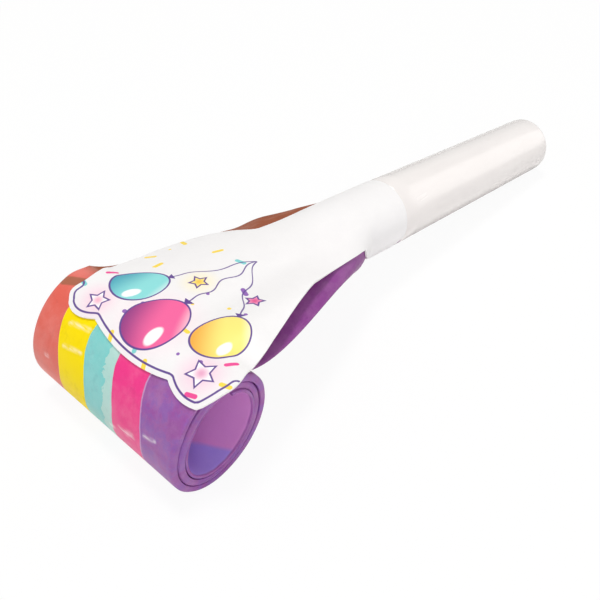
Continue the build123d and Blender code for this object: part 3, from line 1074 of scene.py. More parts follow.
class MeshWork:
    """Making plain mesh objects from rows of places."""

    @staticmethod
    def quads(rows: int, columns: int, ring_rows: bool, ring_columns: bool) -> np.ndarray:
        """List the faces of a grid.

        Args:
            rows: Rows of vertices.
            columns: Vertices in a row.
            ring_rows: Whether the last row joins the first.
            ring_columns: Whether a row's last vertex joins its first.

        Returns:
            Four vertex numbers for each face, as (row, column) pairs that may run past the ring.
        """
        row, column = np.meshgrid(
            np.arange(rows if ring_rows else rows - 1),
            np.arange(columns if ring_columns else columns - 1),
            indexing="ij",
        )
        corners = [(0, 0), (0, 1), (1, 1), (1, 0)]
        return np.stack([np.stack([row + a, column + b], -1) for a, b in corners], -2).reshape(-1, 4, 2)

    @classmethod
    def grid(
        cls,
        name: str,
        axes: BlowerAxes,
        places: np.ndarray,
        uv: np.ndarray,
        ring_rows: bool = False,
        ring_columns: bool = False,
    ) -> bpy.types.Object:
        """Make an object from a grid of places.

        Args:
            name: Name of the piece.
            axes: Where the blower lies.
            places: Rows by columns by (u, y, v).
            uv: Rows by columns by two, with one more row or column where that way is a ring.
            ring_rows: Whether the last row joins the first.
            ring_columns: Whether a row's last vertex joins its first.

        Returns:
            The object, at the origin and with its place in its mesh.
        """
        rows, columns = places.shape[:2]
        faces = cls.quads(rows, columns, ring_rows, ring_columns)
        numbers = (faces[..., 0] % rows) * columns + faces[..., 1] % columns
        mesh = bpy.data.meshes.new(name)
        mesh.from_pydata(places.reshape(-1, 3).tolist(), [], numbers.tolist())
        layer = mesh.uv_layers.new(name="UVMap")
        layer.data.foreach_set("uv", uv[faces[..., 0], faces[..., 1]].astype(np.float32).ravel())
        return cls.settle(name, axes, mesh)

    @classmethod
    def settle(
        cls, name: str, axes: BlowerAxes, mesh: bpy.types.Mesh, sharp: float = 40.0
    ) -> bpy.types.Object:
        """Clean a mesh, put it in the frame and make it an object.

        Args:
            name: Name of the piece.
            axes: Where the blower lies.
            mesh: The mesh, in millimetres along the blower.
            sharp: Edges that turn by more degrees than this stay sharp.

        Returns:
            The object.
        """
        work = bmesh.new()
        work.from_mesh(mesh)
        bmesh.ops.remove_doubles(work, verts=work.verts, dist=1e-4)
        bmesh.ops.recalc_face_normals(work, faces=work.faces)
        work.to_mesh(mesh)
        work.free()
        mesh.transform(axes.matrix)
        mesh.shade_smooth()
        mesh.set_sharp_from_angle(angle=math.radians(sharp))
        mesh.update()
        return placed(name, mesh)

    @staticmethod
    def applied(made: bpy.types.Object) -> None:
        """Turn an object's modifiers into plain mesh."""
        graph = bpy.context.evaluated_depsgraph_get()
        mesh = bpy.data.meshes.new_from_object(
            made.evaluated_get(graph), preserve_all_data_layers=True, depsgraph=graph
        )
        made.modifiers.clear()
        made.data = mesh


@dataclass(frozen=True)
class OvalRoll:
    """The oval spiral that the paper ribbon lies on."""

    centre_u: float = -59.1
    centre_v: float = -9.8
    long_radius: float = 11.4
    short_radius: float = 9.7
    lean: float = math.radians(62.8)
    pitch: float = 1.3
    start: float = math.pi / 2
    fold: float = math.radians(45.0)
    folds: int = 24
    sway_rate: float = 0.62
    sway_start: float = 0.9

    def support(self, psi: np.ndarray | float) -> np.ndarray:
        """Distance from the roll's centre to the tangent whose normal points at psi."""
        turn = np.asarray(psi) - self.lean
        oval = np.hypot(self.long_radius * np.cos(turn), self.short_radius * np.sin(turn))
        return oval - self.pitch * (np.asarray(psi) - self.start) / (2 * math.pi)

    def slope(self, psi: np.ndarray | float) -> np.ndarray:
        """Rate at which the support distance changes with psi."""
        turn = np.asarray(psi) - self.lean
        oval = np.hypot(self.long_radius * np.cos(turn), self.short_radius * np.sin(turn))
        swing = (self.short_radius**2 - self.long_radius**2) * np.sin(turn) * np.cos(turn)
        return swing / oval - self.pitch / (2 * math.pi)

    def point(
        self, psi: np.ndarray | float, offset: np.ndarray | float = 0.0
    ) -> tuple[np.ndarray, np.ndarray]:
        """Find a place on or off the ribbon's middle.

        Args:
            psi: Angle of the normal there.
            offset: Distance outwards from the middle.

        Returns:
            Distances along and up.
        """
        reach = self.support(psi) + offset
        slope = self.slope(psi)
        cos, sin = np.cos(psi), np.sin(psi)
        return self.centre_u + reach * cos - slope * sin, self.centre_v + reach * sin + slope * cos

    def length(self, psi: float) -> float:
        """Length of ribbon from the start of the roll to psi."""
        line = np.column_stack(self.point(np.linspace(self.start, psi, 400)))
        return float(np.linalg.norm(np.diff(line, axis=0), axis=1).sum())

    def middle(self, number: int) -> float:
        """Angle at the middle of a fold, counted from 1."""
        return self.start + (number - 0.5) * self.fold

    @property
    def end(self) -> float:
        """Angle at the ribbon's tip."""
        return self.start + self.folds * self.fold

    @property
    def top(self) -> tuple[float, float]:
        """Place where the flat ribbon meets the roll."""
        u, v = self.point(self.start)
        return float(u), float(v)


@dataclass(frozen=True)
class Throat:
    """How the paper tube flattens from the round sleeve to the ribbon."""

    collar_length: float = 11.0
    length: float = 46.0
    easing: float = 1.63
    crown: float = 0.1
    droop: float = 2.2
    sleeve_outer: float = 6.6
    sleeve_inner: float = 6.35
    ribbon_half_width: float = 18.4
    slit_half_width: float = 17.8
    ribbon_edge: float = 0.2
    slit_edge: float = 0.1

    def share(self, u: np.ndarray) -> np.ndarray:
        """How far along the throat a place is, from 0 at the collar to 1 at the flat ribbon."""
        return (-self.collar_length - u) / self.length

    def flattened(self, share: np.ndarray | float) -> np.ndarray:
        """How far the tube has flattened at a share of the throat's length."""
        return 1 - (1 - np.clip(share, 0, 1)) ** self.easing

    def drooped(self, share: np.ndarray | float) -> np.ndarray:
        """How far the tube's edges hang, which is most at four fifths of the throat's length."""
        share = np.clip(share, 0, 1)
        return self.droop * 5**5 / 4**4 * share**4 * (1 - share)

    def lens(
        self, eased: np.ndarray, droop: np.ndarray, radius: float, half_width: float, edge: float
    ) -> tuple[np.ndarray, np.ndarray, np.ndarray]:
        """Size the tube's section.

        Args:
            eased: How far the tube has flattened.
            droop: How far its edges hang.
            radius: Radius of the round end.
            half_width: Half width of the flat end.
            edge: Half thickness at the section's sides.

        Returns:
            Half width, and the heights of the middle above and below the edges' own half thickness.
        """
        wide = math.sqrt(radius**2 - edge**2) * (1 - eased) + half_width * eased
        fall = (radius - edge) * (1 - eased) + self.crown * eased
        return wide, fall + droop, fall

    @staticmethod
    def held(share: np.ndarray) -> np.ndarray:
        """Share of the flattening that the paper shows just past the stiff collar."""
        return smooth(-0.02, 0.3, share)

    @staticmethod
    def vault(wide: np.ndarray, rise: np.ndarray, y: np.ndarray) -> np.ndarray:
        """Height at y of an arc that spans the width and rises this much at its middle."""
        arc = (wide**2 + rise**2) / (2 * rise)
        return rise - arc + np.sqrt(np.clip(arc**2 - y**2, 0, None))


@dataclass
class Mouthpiece:
    """The tapered plastic tube with its rounded mouth and the reed seat at its base."""

    reach: float = 57.5
    base_radius: float = 7.0
    spigot_radius: float = 6.3
    shoulder: float = 0.1
    shoulder_edge: float = 0.15
    tip_radius: float = 6.4
    lip_radius: float = 0.9
    bore_radius: float = 4.5
    bore_length: float = 8.0
    bore_edge: float = 0.35
    wall: float = 1.6
    seat_radius: float = 5.5
    seat_end: float = 9.0
    collar_length: float = 11.0
    sides: int = 128
    # Its last value darkens the tube's grazing edges as painted shade.
    finish: Plastic = Plastic("pearly_plastic", "E7E2E0", "EFEBE9", 0.25, 0.5, 0.9, 0.000002, 0.4)

    def profile(self) -> np.ndarray:
        """Trace the wall from the rear edge over the lip and back inside.

        Returns:
            Rows of (u, radius) round the closed outline.
        """
        slope = (self.tip_radius - self.base_radius) / self.reach
        chamber_end = self.reach - self.bore_length
        ways = np.linspace(self.shoulder + self.shoulder_edge, self.reach - self.lip_radius, 14)
        outside = [
            (-self.collar_length, self.spigot_radius),
            (self.shoulder, self.spigot_radius),
            (self.shoulder, self.base_radius - self.shoulder_edge),
            *((u, self.base_radius + slope * u) for u in ways),
        ]
        lip = self._round(self.reach, self.tip_radius - self.lip_radius, self.lip_radius, 90, 0)
        mouth = self._round(self.reach, self.bore_radius + self.bore_edge, self.bore_edge, 0, -90)
        inside = [
            (chamber_end, self.bore_radius),
            (chamber_end - 0.3, self.base_radius + slope * chamber_end - self.wall),
            (self.seat_end, self.base_radius + slope * self.seat_end - self.wall),
            (self.seat_end, self.seat_radius),
            (-self.collar_length, self.seat_radius),
        ]
        return np.array([*outside, *lip[1:], *mouth, *inside])

    @staticmethod
    def _round(
        end: float, radius: float, size: float, first: float, last: float
    ) -> list[tuple[float, float]]:
        """Trace a rounded corner.

        Args:
            end: Place of the corner's furthest point along.
            radius: Distance of its centre from the axis.
            size: Its own radius.
            first: Angle at its start, in degrees from the mouth's direction.
            last: Angle at its end.

        Returns:
            Places as (u, radius).
        """
        angles = np.radians(np.linspace(first, last, 9))
        return [(end - size + size * math.cos(angle), radius + size * math.sin(angle)) for angle in angles]

    def build(self, axes: BlowerAxes, shared: SharedEffects) -> bpy.types.Object:
        """Turn the profile round the axis and dress it.

        Args:
            axes: Where the blower lies.
            shared: The shared node groups.

        Returns:
            The mouthpiece.
        """
        profile = self.profile()
        angles = np.linspace(0, 2 * math.pi, self.sides, endpoint=False)
        u = np.repeat(profile[:, :1], self.sides, 1)
        y = profile[:, 1:] * np.sin(angles)
        v = -profile[:, 1:] * np.cos(angles)
        lengths = walked(profile)
        lengths = np.append(lengths, lengths[-1] + 1.0)
        across, along = np.meshgrid(np.linspace(0, 1, self.sides + 1), lengths / UV_SPAN)
        made = MeshWork.grid(
            "mouthpiece_tube", axes, np.stack([u, y, v], -1), np.stack([across, along], -1), True, True
        )
        made.data.set_sharp_from_angle(angle=math.radians(50))
        made.data.materials.append(self.finish.material(shared))
        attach(made, "horn_body")
        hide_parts("mouthpiece")
        return made


@dataclass
class Reed:
    """The reed inside the mouthpiece: plug, wedge and tongue keep their CAD solids."""

    plug: Plastic = Plastic("reed_plastic", "CFCBBF", "E2DFD5", 0.42, 0.0, 0.5, 0.00002)
    tongue: Plastic = Plastic("reed_film", "B9C0C6", "DDE2E6", 0.3, 0.2, 0.8, 0.00001)

    def dress(self, nodes: dict[str, bpy.types.Object], shared: SharedEffects) -> None:
        """Give the reed's solids their finishes.

        Args:
            nodes: The frame's nodes.
            shared: The shared node groups.
        """
        plastic = self.plug.material(shared)
        dress(nodes["reed_plug"], plastic)
        dress(nodes["reed_wedge"], plastic)
        dress(nodes["reed_tongue"], self.tongue.material(shared))


def dress(node: bpy.types.Object, material: bpy.types.Material) -> None:
    """Give a CAD node a finish.

    Args:
        node: The node's object.
        material: Its finish.
    """
    node.data.materials.clear()
    node.data.materials.append(material)


class RibbonTree:
    """Geometry node tree for a length of flattened paper tube on the roll."""

    SIZES = ("Start Angle", "End Angle", "Start Length", "End Length", "Half Width", "Half Thickness")
    SHAPING = ("Margin", "Wall", "Flutter", "Drift", "Swell", "Pinch")
    COUNTS = ("Steps", "Around")

    def __init__(self, roll: OvalRoll) -> None:
        """Build the tree.

        Args:
            roll: The spiral that the ribbon lies on.
        """
        self.tree = bpy.data.node_groups.new("flattened_tube_on_roll", "GeometryNodeTree")
        interface = self.tree.interface
        for name in self.SIZES + self.SHAPING:
            interface.new_socket(name, in_out="INPUT", socket_type="NodeSocketFloat")
        for name in self.COUNTS:
            interface.new_socket(name, in_out="INPUT", socket_type="NodeSocketInt")
        interface.new_socket("Material", in_out="INPUT", socket_type="NodeSocketMaterial")
        interface.new_socket("Geometry", in_out="OUTPUT", socket_type="NodeSocketGeometry")
        self.bench = Bench(self.tree)
        self.given = self.bench.node("NodeGroupInput")
        self._wire(roll)

    def _take(self, name: str) -> Wire:
        """One of the tree's inputs."""
        return self.bench.out(self.given, name)

    def _wire(self, roll: OvalRoll) -> None:
        """Lay a grid's rows outside and then back inside the tube, and bend them onto the roll.

        Args:
            roll: The spiral that the ribbon lies on.
        """
        bench = self.bench
        steps = self._take("Steps")
        last = steps * 2.0 + 2.0
        around = self._take("Around") + 1.0
        counts = {"Size X": 1.0, "Size Y": 1.0, "Vertices X": last + 1.0, "Vertices Y": around}
        grid = bench.node("GeometryNodeMeshGrid", counts)
        x, y, _ = bench.split(bench.out(bench.node("GeometryNodeInputPosition")))
        row = (x + 0.5) * last
        going = row.under(steps + 0.5)
        outer = going + row.over(steps * 2.0 + 1.5)
        back = ((steps * 2.0 + 1.0 - row) / steps).clipped()
        share = going * (row / steps) + (1.0 - going) * back
        inner = 1.0 - outer
        edge = ((1.0 - abs(y) * 4.0) * (math.pi / 2)).sin()
        side = y.under(0.0) * 2.0 - 1.0
        pinch = (1.0 - abs(edge) ** self._take("Pinch")).most(0.0).sqrt()
        first_length, first_angle = self._take("Start Length"), self._take("Start Angle")
        length = first_length + (self._take("End Length") - first_length) * share
        ripple = bench.noise(bench.join(length, edge * 4.0), 0.13, 2.0)
        flutter = (ripple - 0.5) * 2.0 * self._take("Flutter") * (edge * edge) ** 3.0
        psi = first_angle + (self._take("End Angle") - first_angle) * share
        drift = (psi * roll.sway_rate - roll.sway_start).sin() * self._take("Drift")
        across = edge * (self._take("Half Width") - inner * self._take("Margin")) + drift
        grown = ((psi - roll.middle(1)) / roll.fold).clipped()
        thinned = 1.0 - ((psi - roll.end + 2 * math.pi) / roll.fold).clipped() * 0.7
        swell = self._take("Swell") * 0.5 * (edge * edge) ** 4.0 * grown * thinned
        half = self._take("Half Thickness") - inner * self._take("Wall") + swell
        offset = side * pinch * half - swell + flutter
        u, v = self._bent(roll, psi, offset)
        uv = bench.join(length / UV_SPAN, edge * 0.5 + 0.5)
        stored = bench.node(
            "GeometryNodeStoreNamedAttribute",
            {"Geometry": bench.out(grid, "Mesh"), "Name": "UVMap", "Value": uv},
            data_type="FLOAT2",
            domain="CORNER",
        )
        marked = bench.node(
            "GeometryNodeStoreNamedAttribute",
            {"Geometry": bench.out(stored), "Name": "underside", "Value": side * -0.5 + 0.5},
            data_type="FLOAT",
            domain="POINT",
        )
        bent = {"Geometry": bench.out(marked), "Position": bench.join(u, across, v)}
        moved = bench.node("GeometryNodeSetPosition", bent)
        merged = bench.node("GeometryNodeMergeByDistance", {"Geometry": bench.out(moved), "Distance": 1e-4})
        whole = bench.node("GeometryNodeRealizeInstances", {"Geometry": bench.out(merged)})
        dressed = bench.node("GeometryNodeSetMaterial", {"Geometry": bench.out(whole)})
        self.tree.links.new(self._take("Material").socket, dressed.inputs["Material"])
        result = bench.node("NodeGroupOutput")
        self.tree.links.new(dressed.outputs[0], result.inputs["Geometry"])

    @staticmethod
    def _bent(roll: OvalRoll, psi: Wire, offset: Wire) -> tuple[Wire, Wire]:
        """Place on the roll, as OvalRoll.point gives it, in nodes.

        Args:
            roll: The spiral.
            psi: Angle of the normal.
            offset: Distance outwards from the ribbon's middle.

        Returns:
            Distances along and up.
        """
        turn = psi - roll.lean
        long_side, short_side = turn.cos() * roll.long_radius, turn.sin() * roll.short_radius
        oval = (long_side * long_side + short_side * short_side).sqrt()
        fall = roll.pitch / (2 * math.pi)
        reach = oval - (psi - roll.start) * fall + offset
        swing = turn.sin() * turn.cos() * (roll.short_radius**2 - roll.long_radius**2)
        slope = swing / oval - fall
        cos, sin = psi.cos(), psi.sin()
        return reach * cos - slope * sin + roll.centre_u, reach * sin + slope * cos + roll.centre_v

    def lay(self, name: str, axes: BlowerAxes, values: dict[str, object]) -> bpy.types.Object:
        """Make one length of ribbon as a plain mesh object.

        Args:
            name: Name of the piece.
            axes: Where the blower lies.
            values: Values for the tree's named inputs.

        Returns:
            The object.
        """
        mould = placed(name + "_mould", bpy.data.meshes.new(name + "_mould"))
        modifier = mould.modifiers.new("ribbon", "NODES")
        modifier.node_group = self.tree
        for item in self.tree.interface.items_tree:
            if item.in_out == "INPUT":
                modifier[item.identifier] = values[item.name]
        MeshWork.applied(mould)
        mesh = mould.data
        bpy.data.objects.remove(mould)
        mesh.name = name
        return MeshWork.settle(name, axes, mesh)


@dataclass
class PaperTube:
    """The striped paper tube: sleeve, throat and roll, with the spring strip and the glued tip inside."""

    roll: OvalRoll = OvalRoll()
    throat: Throat = Throat()
    around: int = 64
    fold_steps: int = 16
    sleeve_rows: int = 9
    throat_rows: int = 49
    level_rows: int = 4
    bend_rows: int = 9
    tail_rows: int = 6
    pinch: float = 110.0
    margin: float = 0.6
    wall: float = 0.1
    flutter: float = 0.10
    drift: float = 0.12
    swell: float = 1.1
    far_swell: float = 2.1
    far_swell_rise: Pair = (-0.05, 0.1)
    far_swell_fall: Pair = (0.22, 0.4)
    far_swell_side: Pair = (0.5, 0.95)
    near_swell: float = 1.1
    near_swell_rise: Pair = (-0.04, 0.1)
    near_swell_fall: Pair = (0.2, 0.5)
    far_sag: float = 0.45
    far_sag_rise: Pair = (0.7, 0.95)
    far_sag_fall: Pair = (1.57, 1.96)
    far_sag_side: Pair = (0.3, 1.0)
    loose_edge: float = 0.4
    loose_run: Pair = (-3.4, -1.6)
    loose_place: float = -0.85
    loose_width: float = 0.14
    crease_depth: float = 0.45
    crease_width: float = 0.07
    settling: float = 3.0
    lead: float = 4.0
    peek: float = 0.05
    strip_half_width: float = 1.25
    strip_half_thickness: float = 0.05
    strip_tail: float = 14.0
    seal_room: float = 1.52
    stripes: StripedPaper = StripedPaper()
    paper: PlainPaper = PlainPaper("plain_paper", "E4E1DC", "F5F3F0", 0.8, 0.8, 0.00004)
    spring: Plastic = Plastic("spring_strip", "CBD3D8", "E6ECEF", 0.3, 0.3, 0.6, 0.00001)

    @staticmethod
    def spread(turn: np.ndarray) -> np.ndarray:
        """Place across the tube, from -1 to 1, at a share of the way round it."""
        return np.sin((1 - 4 * np.abs(turn - 0.5)) * math.pi / 2)

    def risen(self, u: np.ndarray) -> np.ndarray:
        """0 on the roll and 1 up the throat, eased just before the roll."""
        return smooth(self.roll.top[0], self.roll.top[0] + self.settling, u)

    def bend(self, axes: BlowerAxes, number: int) -> tuple[Vector, Vector]:
        """Where the bend across a hinge starts and ends.

        Args:
            axes: Where the blower lies.
            number: The hinge, from 0 for the first.

        Returns:
            Two places in the frame.
        """
        if number == 0:
            start = (self.roll.top[0] + self.lead, self.roll.top[1])
        else:
            start = self.roll.point(self.roll.middle(number))
        end = self.roll.point(self.roll.middle(number + 1))
        return axes.spot(float(start[0]), 0, float(start[1])), axes.spot(float(end[0]), 0, float(end[1]))

    def stations(self) -> tuple[np.ndarray, np.ndarray, np.ndarray, np.ndarray, np.ndarray]:
        """Walk along the tube's middle from the sleeve to the middle of the first fold.

        Returns:
            For each row: u and v of the edges, the normal's angle, how far the tube has flattened and
            how far its edges hang.
        """
        shape = self.throat
        flat_start = -shape.collar_length - shape.length
        sleeve = np.linspace(self.peek, -shape.collar_length, self.sleeve_rows)[:-1]
        shares = np.linspace(0, 1, self.throat_rows)
        level = np.linspace(flat_start, self.roll.top[0], self.level_rows)[1:]
        psi = np.linspace(self.roll.start, self.roll.middle(1), self.bend_rows)[1:]
        bent_u, bent_v = self.roll.point(psi)
        eased = np.concatenate([0 * sleeve, shape.flattened(shares), 0 * level + 1, 0 * psi + 1])
        u = np.concatenate([sleeve, -shape.collar_length - shares * shape.length, level, bent_u])
        v = np.concatenate([0 * sleeve, 0 * shares, 0 * level, bent_v])
        straight = len(sleeve) + len(shares) + len(level)
        droop = shape.drooped(shape.share(u))
        v[:straight] = self.roll.top[1] * eased[:straight] - droop[:straight]
        angle = np.concatenate([np.full(straight, math.pi / 2), psi])
        return u, v, angle, eased, droop

    def skin(self, inner: bool) -> np.ndarray:
        """Make the tube's outer or inner skin from the sleeve to the first fold.

        Args:
            inner: Whether this is the skin inside.

        Returns:
            Rows by columns by (u, y, v).
        """
        shape, roll = self.throat, self.roll
        u, v, angle, eased, droop = (part[:, None] for part in self.stations())
        share = shape.share(u)
        radius = shape.sleeve_inner if inner else shape.sleeve_outer
        half_width = shape.slit_half_width if inner else shape.ribbon_half_width
        edge = shape.slit_edge if inner else shape.ribbon_edge
        wide, rise, _ = shape.lens(eased, droop, radius, half_width, edge)
        fall = shape.lens(eased * shape.held(share), droop, radius, half_width, edge)[2]
        risen = self.risen(u)
        turn = np.arange(self.around) / self.around
        across = self.spread(turn)
        below = turn >= 0.5
        side = np.where(below, -1.0, 1.0)
        y = wide * across
        vault = np.where(below, shape.vault(wide, fall, y), shape.vault(wide, rise, y))
        pinched = edge * np.sqrt(np.clip(1 - np.abs(across) ** self.pinch, 0, None))
        offset = side * (np.clip(vault, 0, None) * risen + pinched)
        offset += below * self.creases(eased, across) * risen
        upright = np.sqrt(np.clip(1 - across**2, 0, None))
        near = self.near_swell * hump(self.near_swell_rise, self.near_swell_fall, share)
        near = near * 2 * np.clip(-across, 0, None) * upright * below
        far = self.far_swell * hump(self.far_swell_rise, self.far_swell_fall, share)
        sway = self.drift * np.sin(angle * roll.sway_rate - roll.sway_start) * (1 - risen)
        y = y + (sway + far * smooth(*self.far_swell_side, across) + near * across)
        sag = smooth(*self.far_sag_rise, share) * (1 - smooth(*self.far_sag_fall, angle))
        offset = offset - self.far_sag * sag * smooth(*self.far_sag_side, across) - near * upright
        loose = np.exp(-(((across - self.loose_place) / self.loose_width) ** 2)) * below
        grown = 1 + self.loose_edge / radius * smooth(*self.loose_run, u) * loose
        return np.stack([u + np.cos(angle) * offset, y * grown, (v + np.sin(angle) * offset) * grown], -1)

    def creases(self, eased: np.ndarray, across: np.ndarray) -> np.ndarray:
        """Depth of the two soft creases that run out under the throat as the paper flattens.

        Args:
            eased: How far the tube has flattened.
            across: Place across the tube, from -1 to 1.

        Returns:
            Inward depth in millimetres.
        """
        course = 0.25 + 0.5 * eased
        ridge = np.exp(-(((np.abs(across) - course) / self.crease_width) ** 2))
        return self.crease_depth * ridge * eased * (1 - eased) * 4

    def build_throat(self, axes: BlowerAxes, material: bpy.types.Material) -> bpy.types.Object:
        """Make the sleeve, the throat and the ribbon up to the middle of the first fold.

        Args:
            axes: Where the blower lies.
            material: The striped paper.

        Returns:
            The piece.
        """
        outer, inner = self.skin(False), self.skin(True)
        lengths = walked(outer[:, self.around // 4])
        lengths = lengths - lengths[-1] + self.roll.length(self.roll.middle(1))
        across = self.spread(np.arange(self.around + 1) / self.around) * 0.5 + 0.5
        rows = np.concatenate([lengths, lengths[::-1], lengths[:1]]) / UV_SPAN
        uv = np.stack(np.meshgrid(rows, across, indexing="ij"), -1)
        places = np.concatenate([outer, inner[::-1]])
        made = MeshWork.grid("paper_throat", axes, places, uv, True, True)
        made.data.materials.append(material)
        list(self.bend(axes, 0))
        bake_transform(made)
        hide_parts("paper_tube_throat")
        return made

    def build_roll(self, axes: BlowerAxes, material: bpy.types.Material) -> list[bpy.types.Object]:
        """Lay the roll as lengths of ribbon, each from the middle of one fold to the next.

        Args:
            axes: Where the blower lies.
            material: The striped paper.

        Returns:
            The pieces, from the outside of the roll inwards.
        """
        tree = RibbonTree(self.roll)
        pieces = []
        for number in range(1, self.roll.folds + 1):
            start = self.roll.middle(number)
            end = min(self.roll.middle(number + 1), self.roll.end)
            values = {
                "Start Angle": start,
                "End Angle": end,
                "Start Length": self.roll.length(start),
                "End Length": self.roll.length(end),
                "Half Width": self.throat.ribbon_half_width,
                "Half Thickness": self.throat.ribbon_edge,
                "Margin": self.margin,
                "Wall": self.wall,
                "Flutter": self.flutter,
                "Drift": self.drift,
                "Swell": self.swell,
                "Pinch": self.pinch,
                "Steps": self.fold_steps,
                "Around": self.around,
                "Material": material,
            }
            made = tree.lay(f"paper_roll_{number:02d}", axes, values)
            self._join(axes, made, number)
            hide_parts(f"paper_tube_fold_{number:02d}")
            pieces.append(made)
        return pieces

    def build_strip(self, axes: BlowerAxes, material: bpy.types.Material) -> list[bpy.types.Object]:
        """Lay the recoil strip inside the ribbon, in the same lengths.

        Args:
            axes: Where the blower lies.
            material: The strip's plastic.

        Returns:
            The pieces, from the fixed end to the tip.
        """
        tip = self.roll.end - self.seal_room / float(self.roll.support(self.roll.end))
        pieces = []
        for number in range(self.roll.folds + 1):
            first = self.roll.start if number == 0 else self.roll.middle(number)
            psi = np.linspace(first, min(self.roll.middle(number + 1), tip), self.bend_rows)
            u, v = self.roll.point(psi)
            if number == 0:
                top_u, top_v = self.roll.top
                tail = np.linspace(top_u + self.strip_tail, top_u, self.tail_rows)[:-1]
                u, v = np.concatenate([tail, u]), np.concatenate([0 * tail + top_v, v])
                psi = np.concatenate([0 * tail + self.roll.start, psi])
            made = self._strip(axes, f"spring_strip_{number:02d}", u, v, psi)
            made.data.materials.append(material)
            self._join(axes, made, number)
            node = f"recoil_strip_{number:02d}" if number else "recoil_strip_root"
            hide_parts(node)
            pieces.append(made)
        return pieces

    def _strip(
        self, axes: BlowerAxes, name: str, u: np.ndarray, v: np.ndarray, psi: np.ndarray
    ) -> bpy.types.Object:
        """Make one closed length of strip.

        Args:
            axes: Where the blower lies.
            name: Name of the piece.
            u: Places of its middle along.
            v: Places of its middle up.
            psi: Angles of its normal.

        Returns:
            The object.
        """
        wide, thick = self.strip_half_width, self.strip_half_thickness
        corners = [(-wide, thick), (wide, thick), (wide, -thick), (-wide, -thick)]
        rows = [
            np.stack([u + offset * np.cos(psi), np.full_like(u, y), v + offset * np.sin(psi)], -1)
            for y, offset in corners
        ]
        places = np.stack(rows, 1)
        first, last = places[:1].mean(1, keepdims=True), places[-1:].mean(1, keepdims=True)
        places = np.concatenate([np.repeat(first, 4, 1), places, np.repeat(last, 4, 1)])
        length = np.linspace(0, 1, len(places))
        uv = np.stack(np.meshgrid(length, np.linspace(0, 1, 5), indexing="ij"), -1)
        return MeshWork.grid(name, axes, places, uv, False, True)

    def _join(self, axes: BlowerAxes, made: bpy.types.Object, number: int) -> None:
        """Set a length of ribbon or strip on the last fold's body, or else leave it baked where it lies.

        Args:
            axes: Where the blower lies.
            made: The piece.
            number: The fold that its first half is on, or 0 for the horn's body.
        """
        if number == self.roll.folds:
            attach(made, f"fold_{number:02d}")
            return
        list(self.bend(axes, number))
        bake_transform(made)

    def build(self, axes: BlowerAxes, nodes: dict[str, bpy.types.Object], shared: SharedEffects) -> int:
        """Make the whole tube.

        Args:
            axes: Where the blower lies.
            nodes: The frame's nodes.
            shared: The shared node groups.

        Returns:
            How many pieces were made.
        """
        stripes = self.stripes.material(shared)
        self.build_throat(axes, stripes)
        lengths = self.build_roll(axes, stripes)
        strips = self.build_strip(axes, self.spring.material(shared))
        dress(nodes["tip_seal"], self.paper.material(shared))
        return 1 + len(lengths) + len(strips)


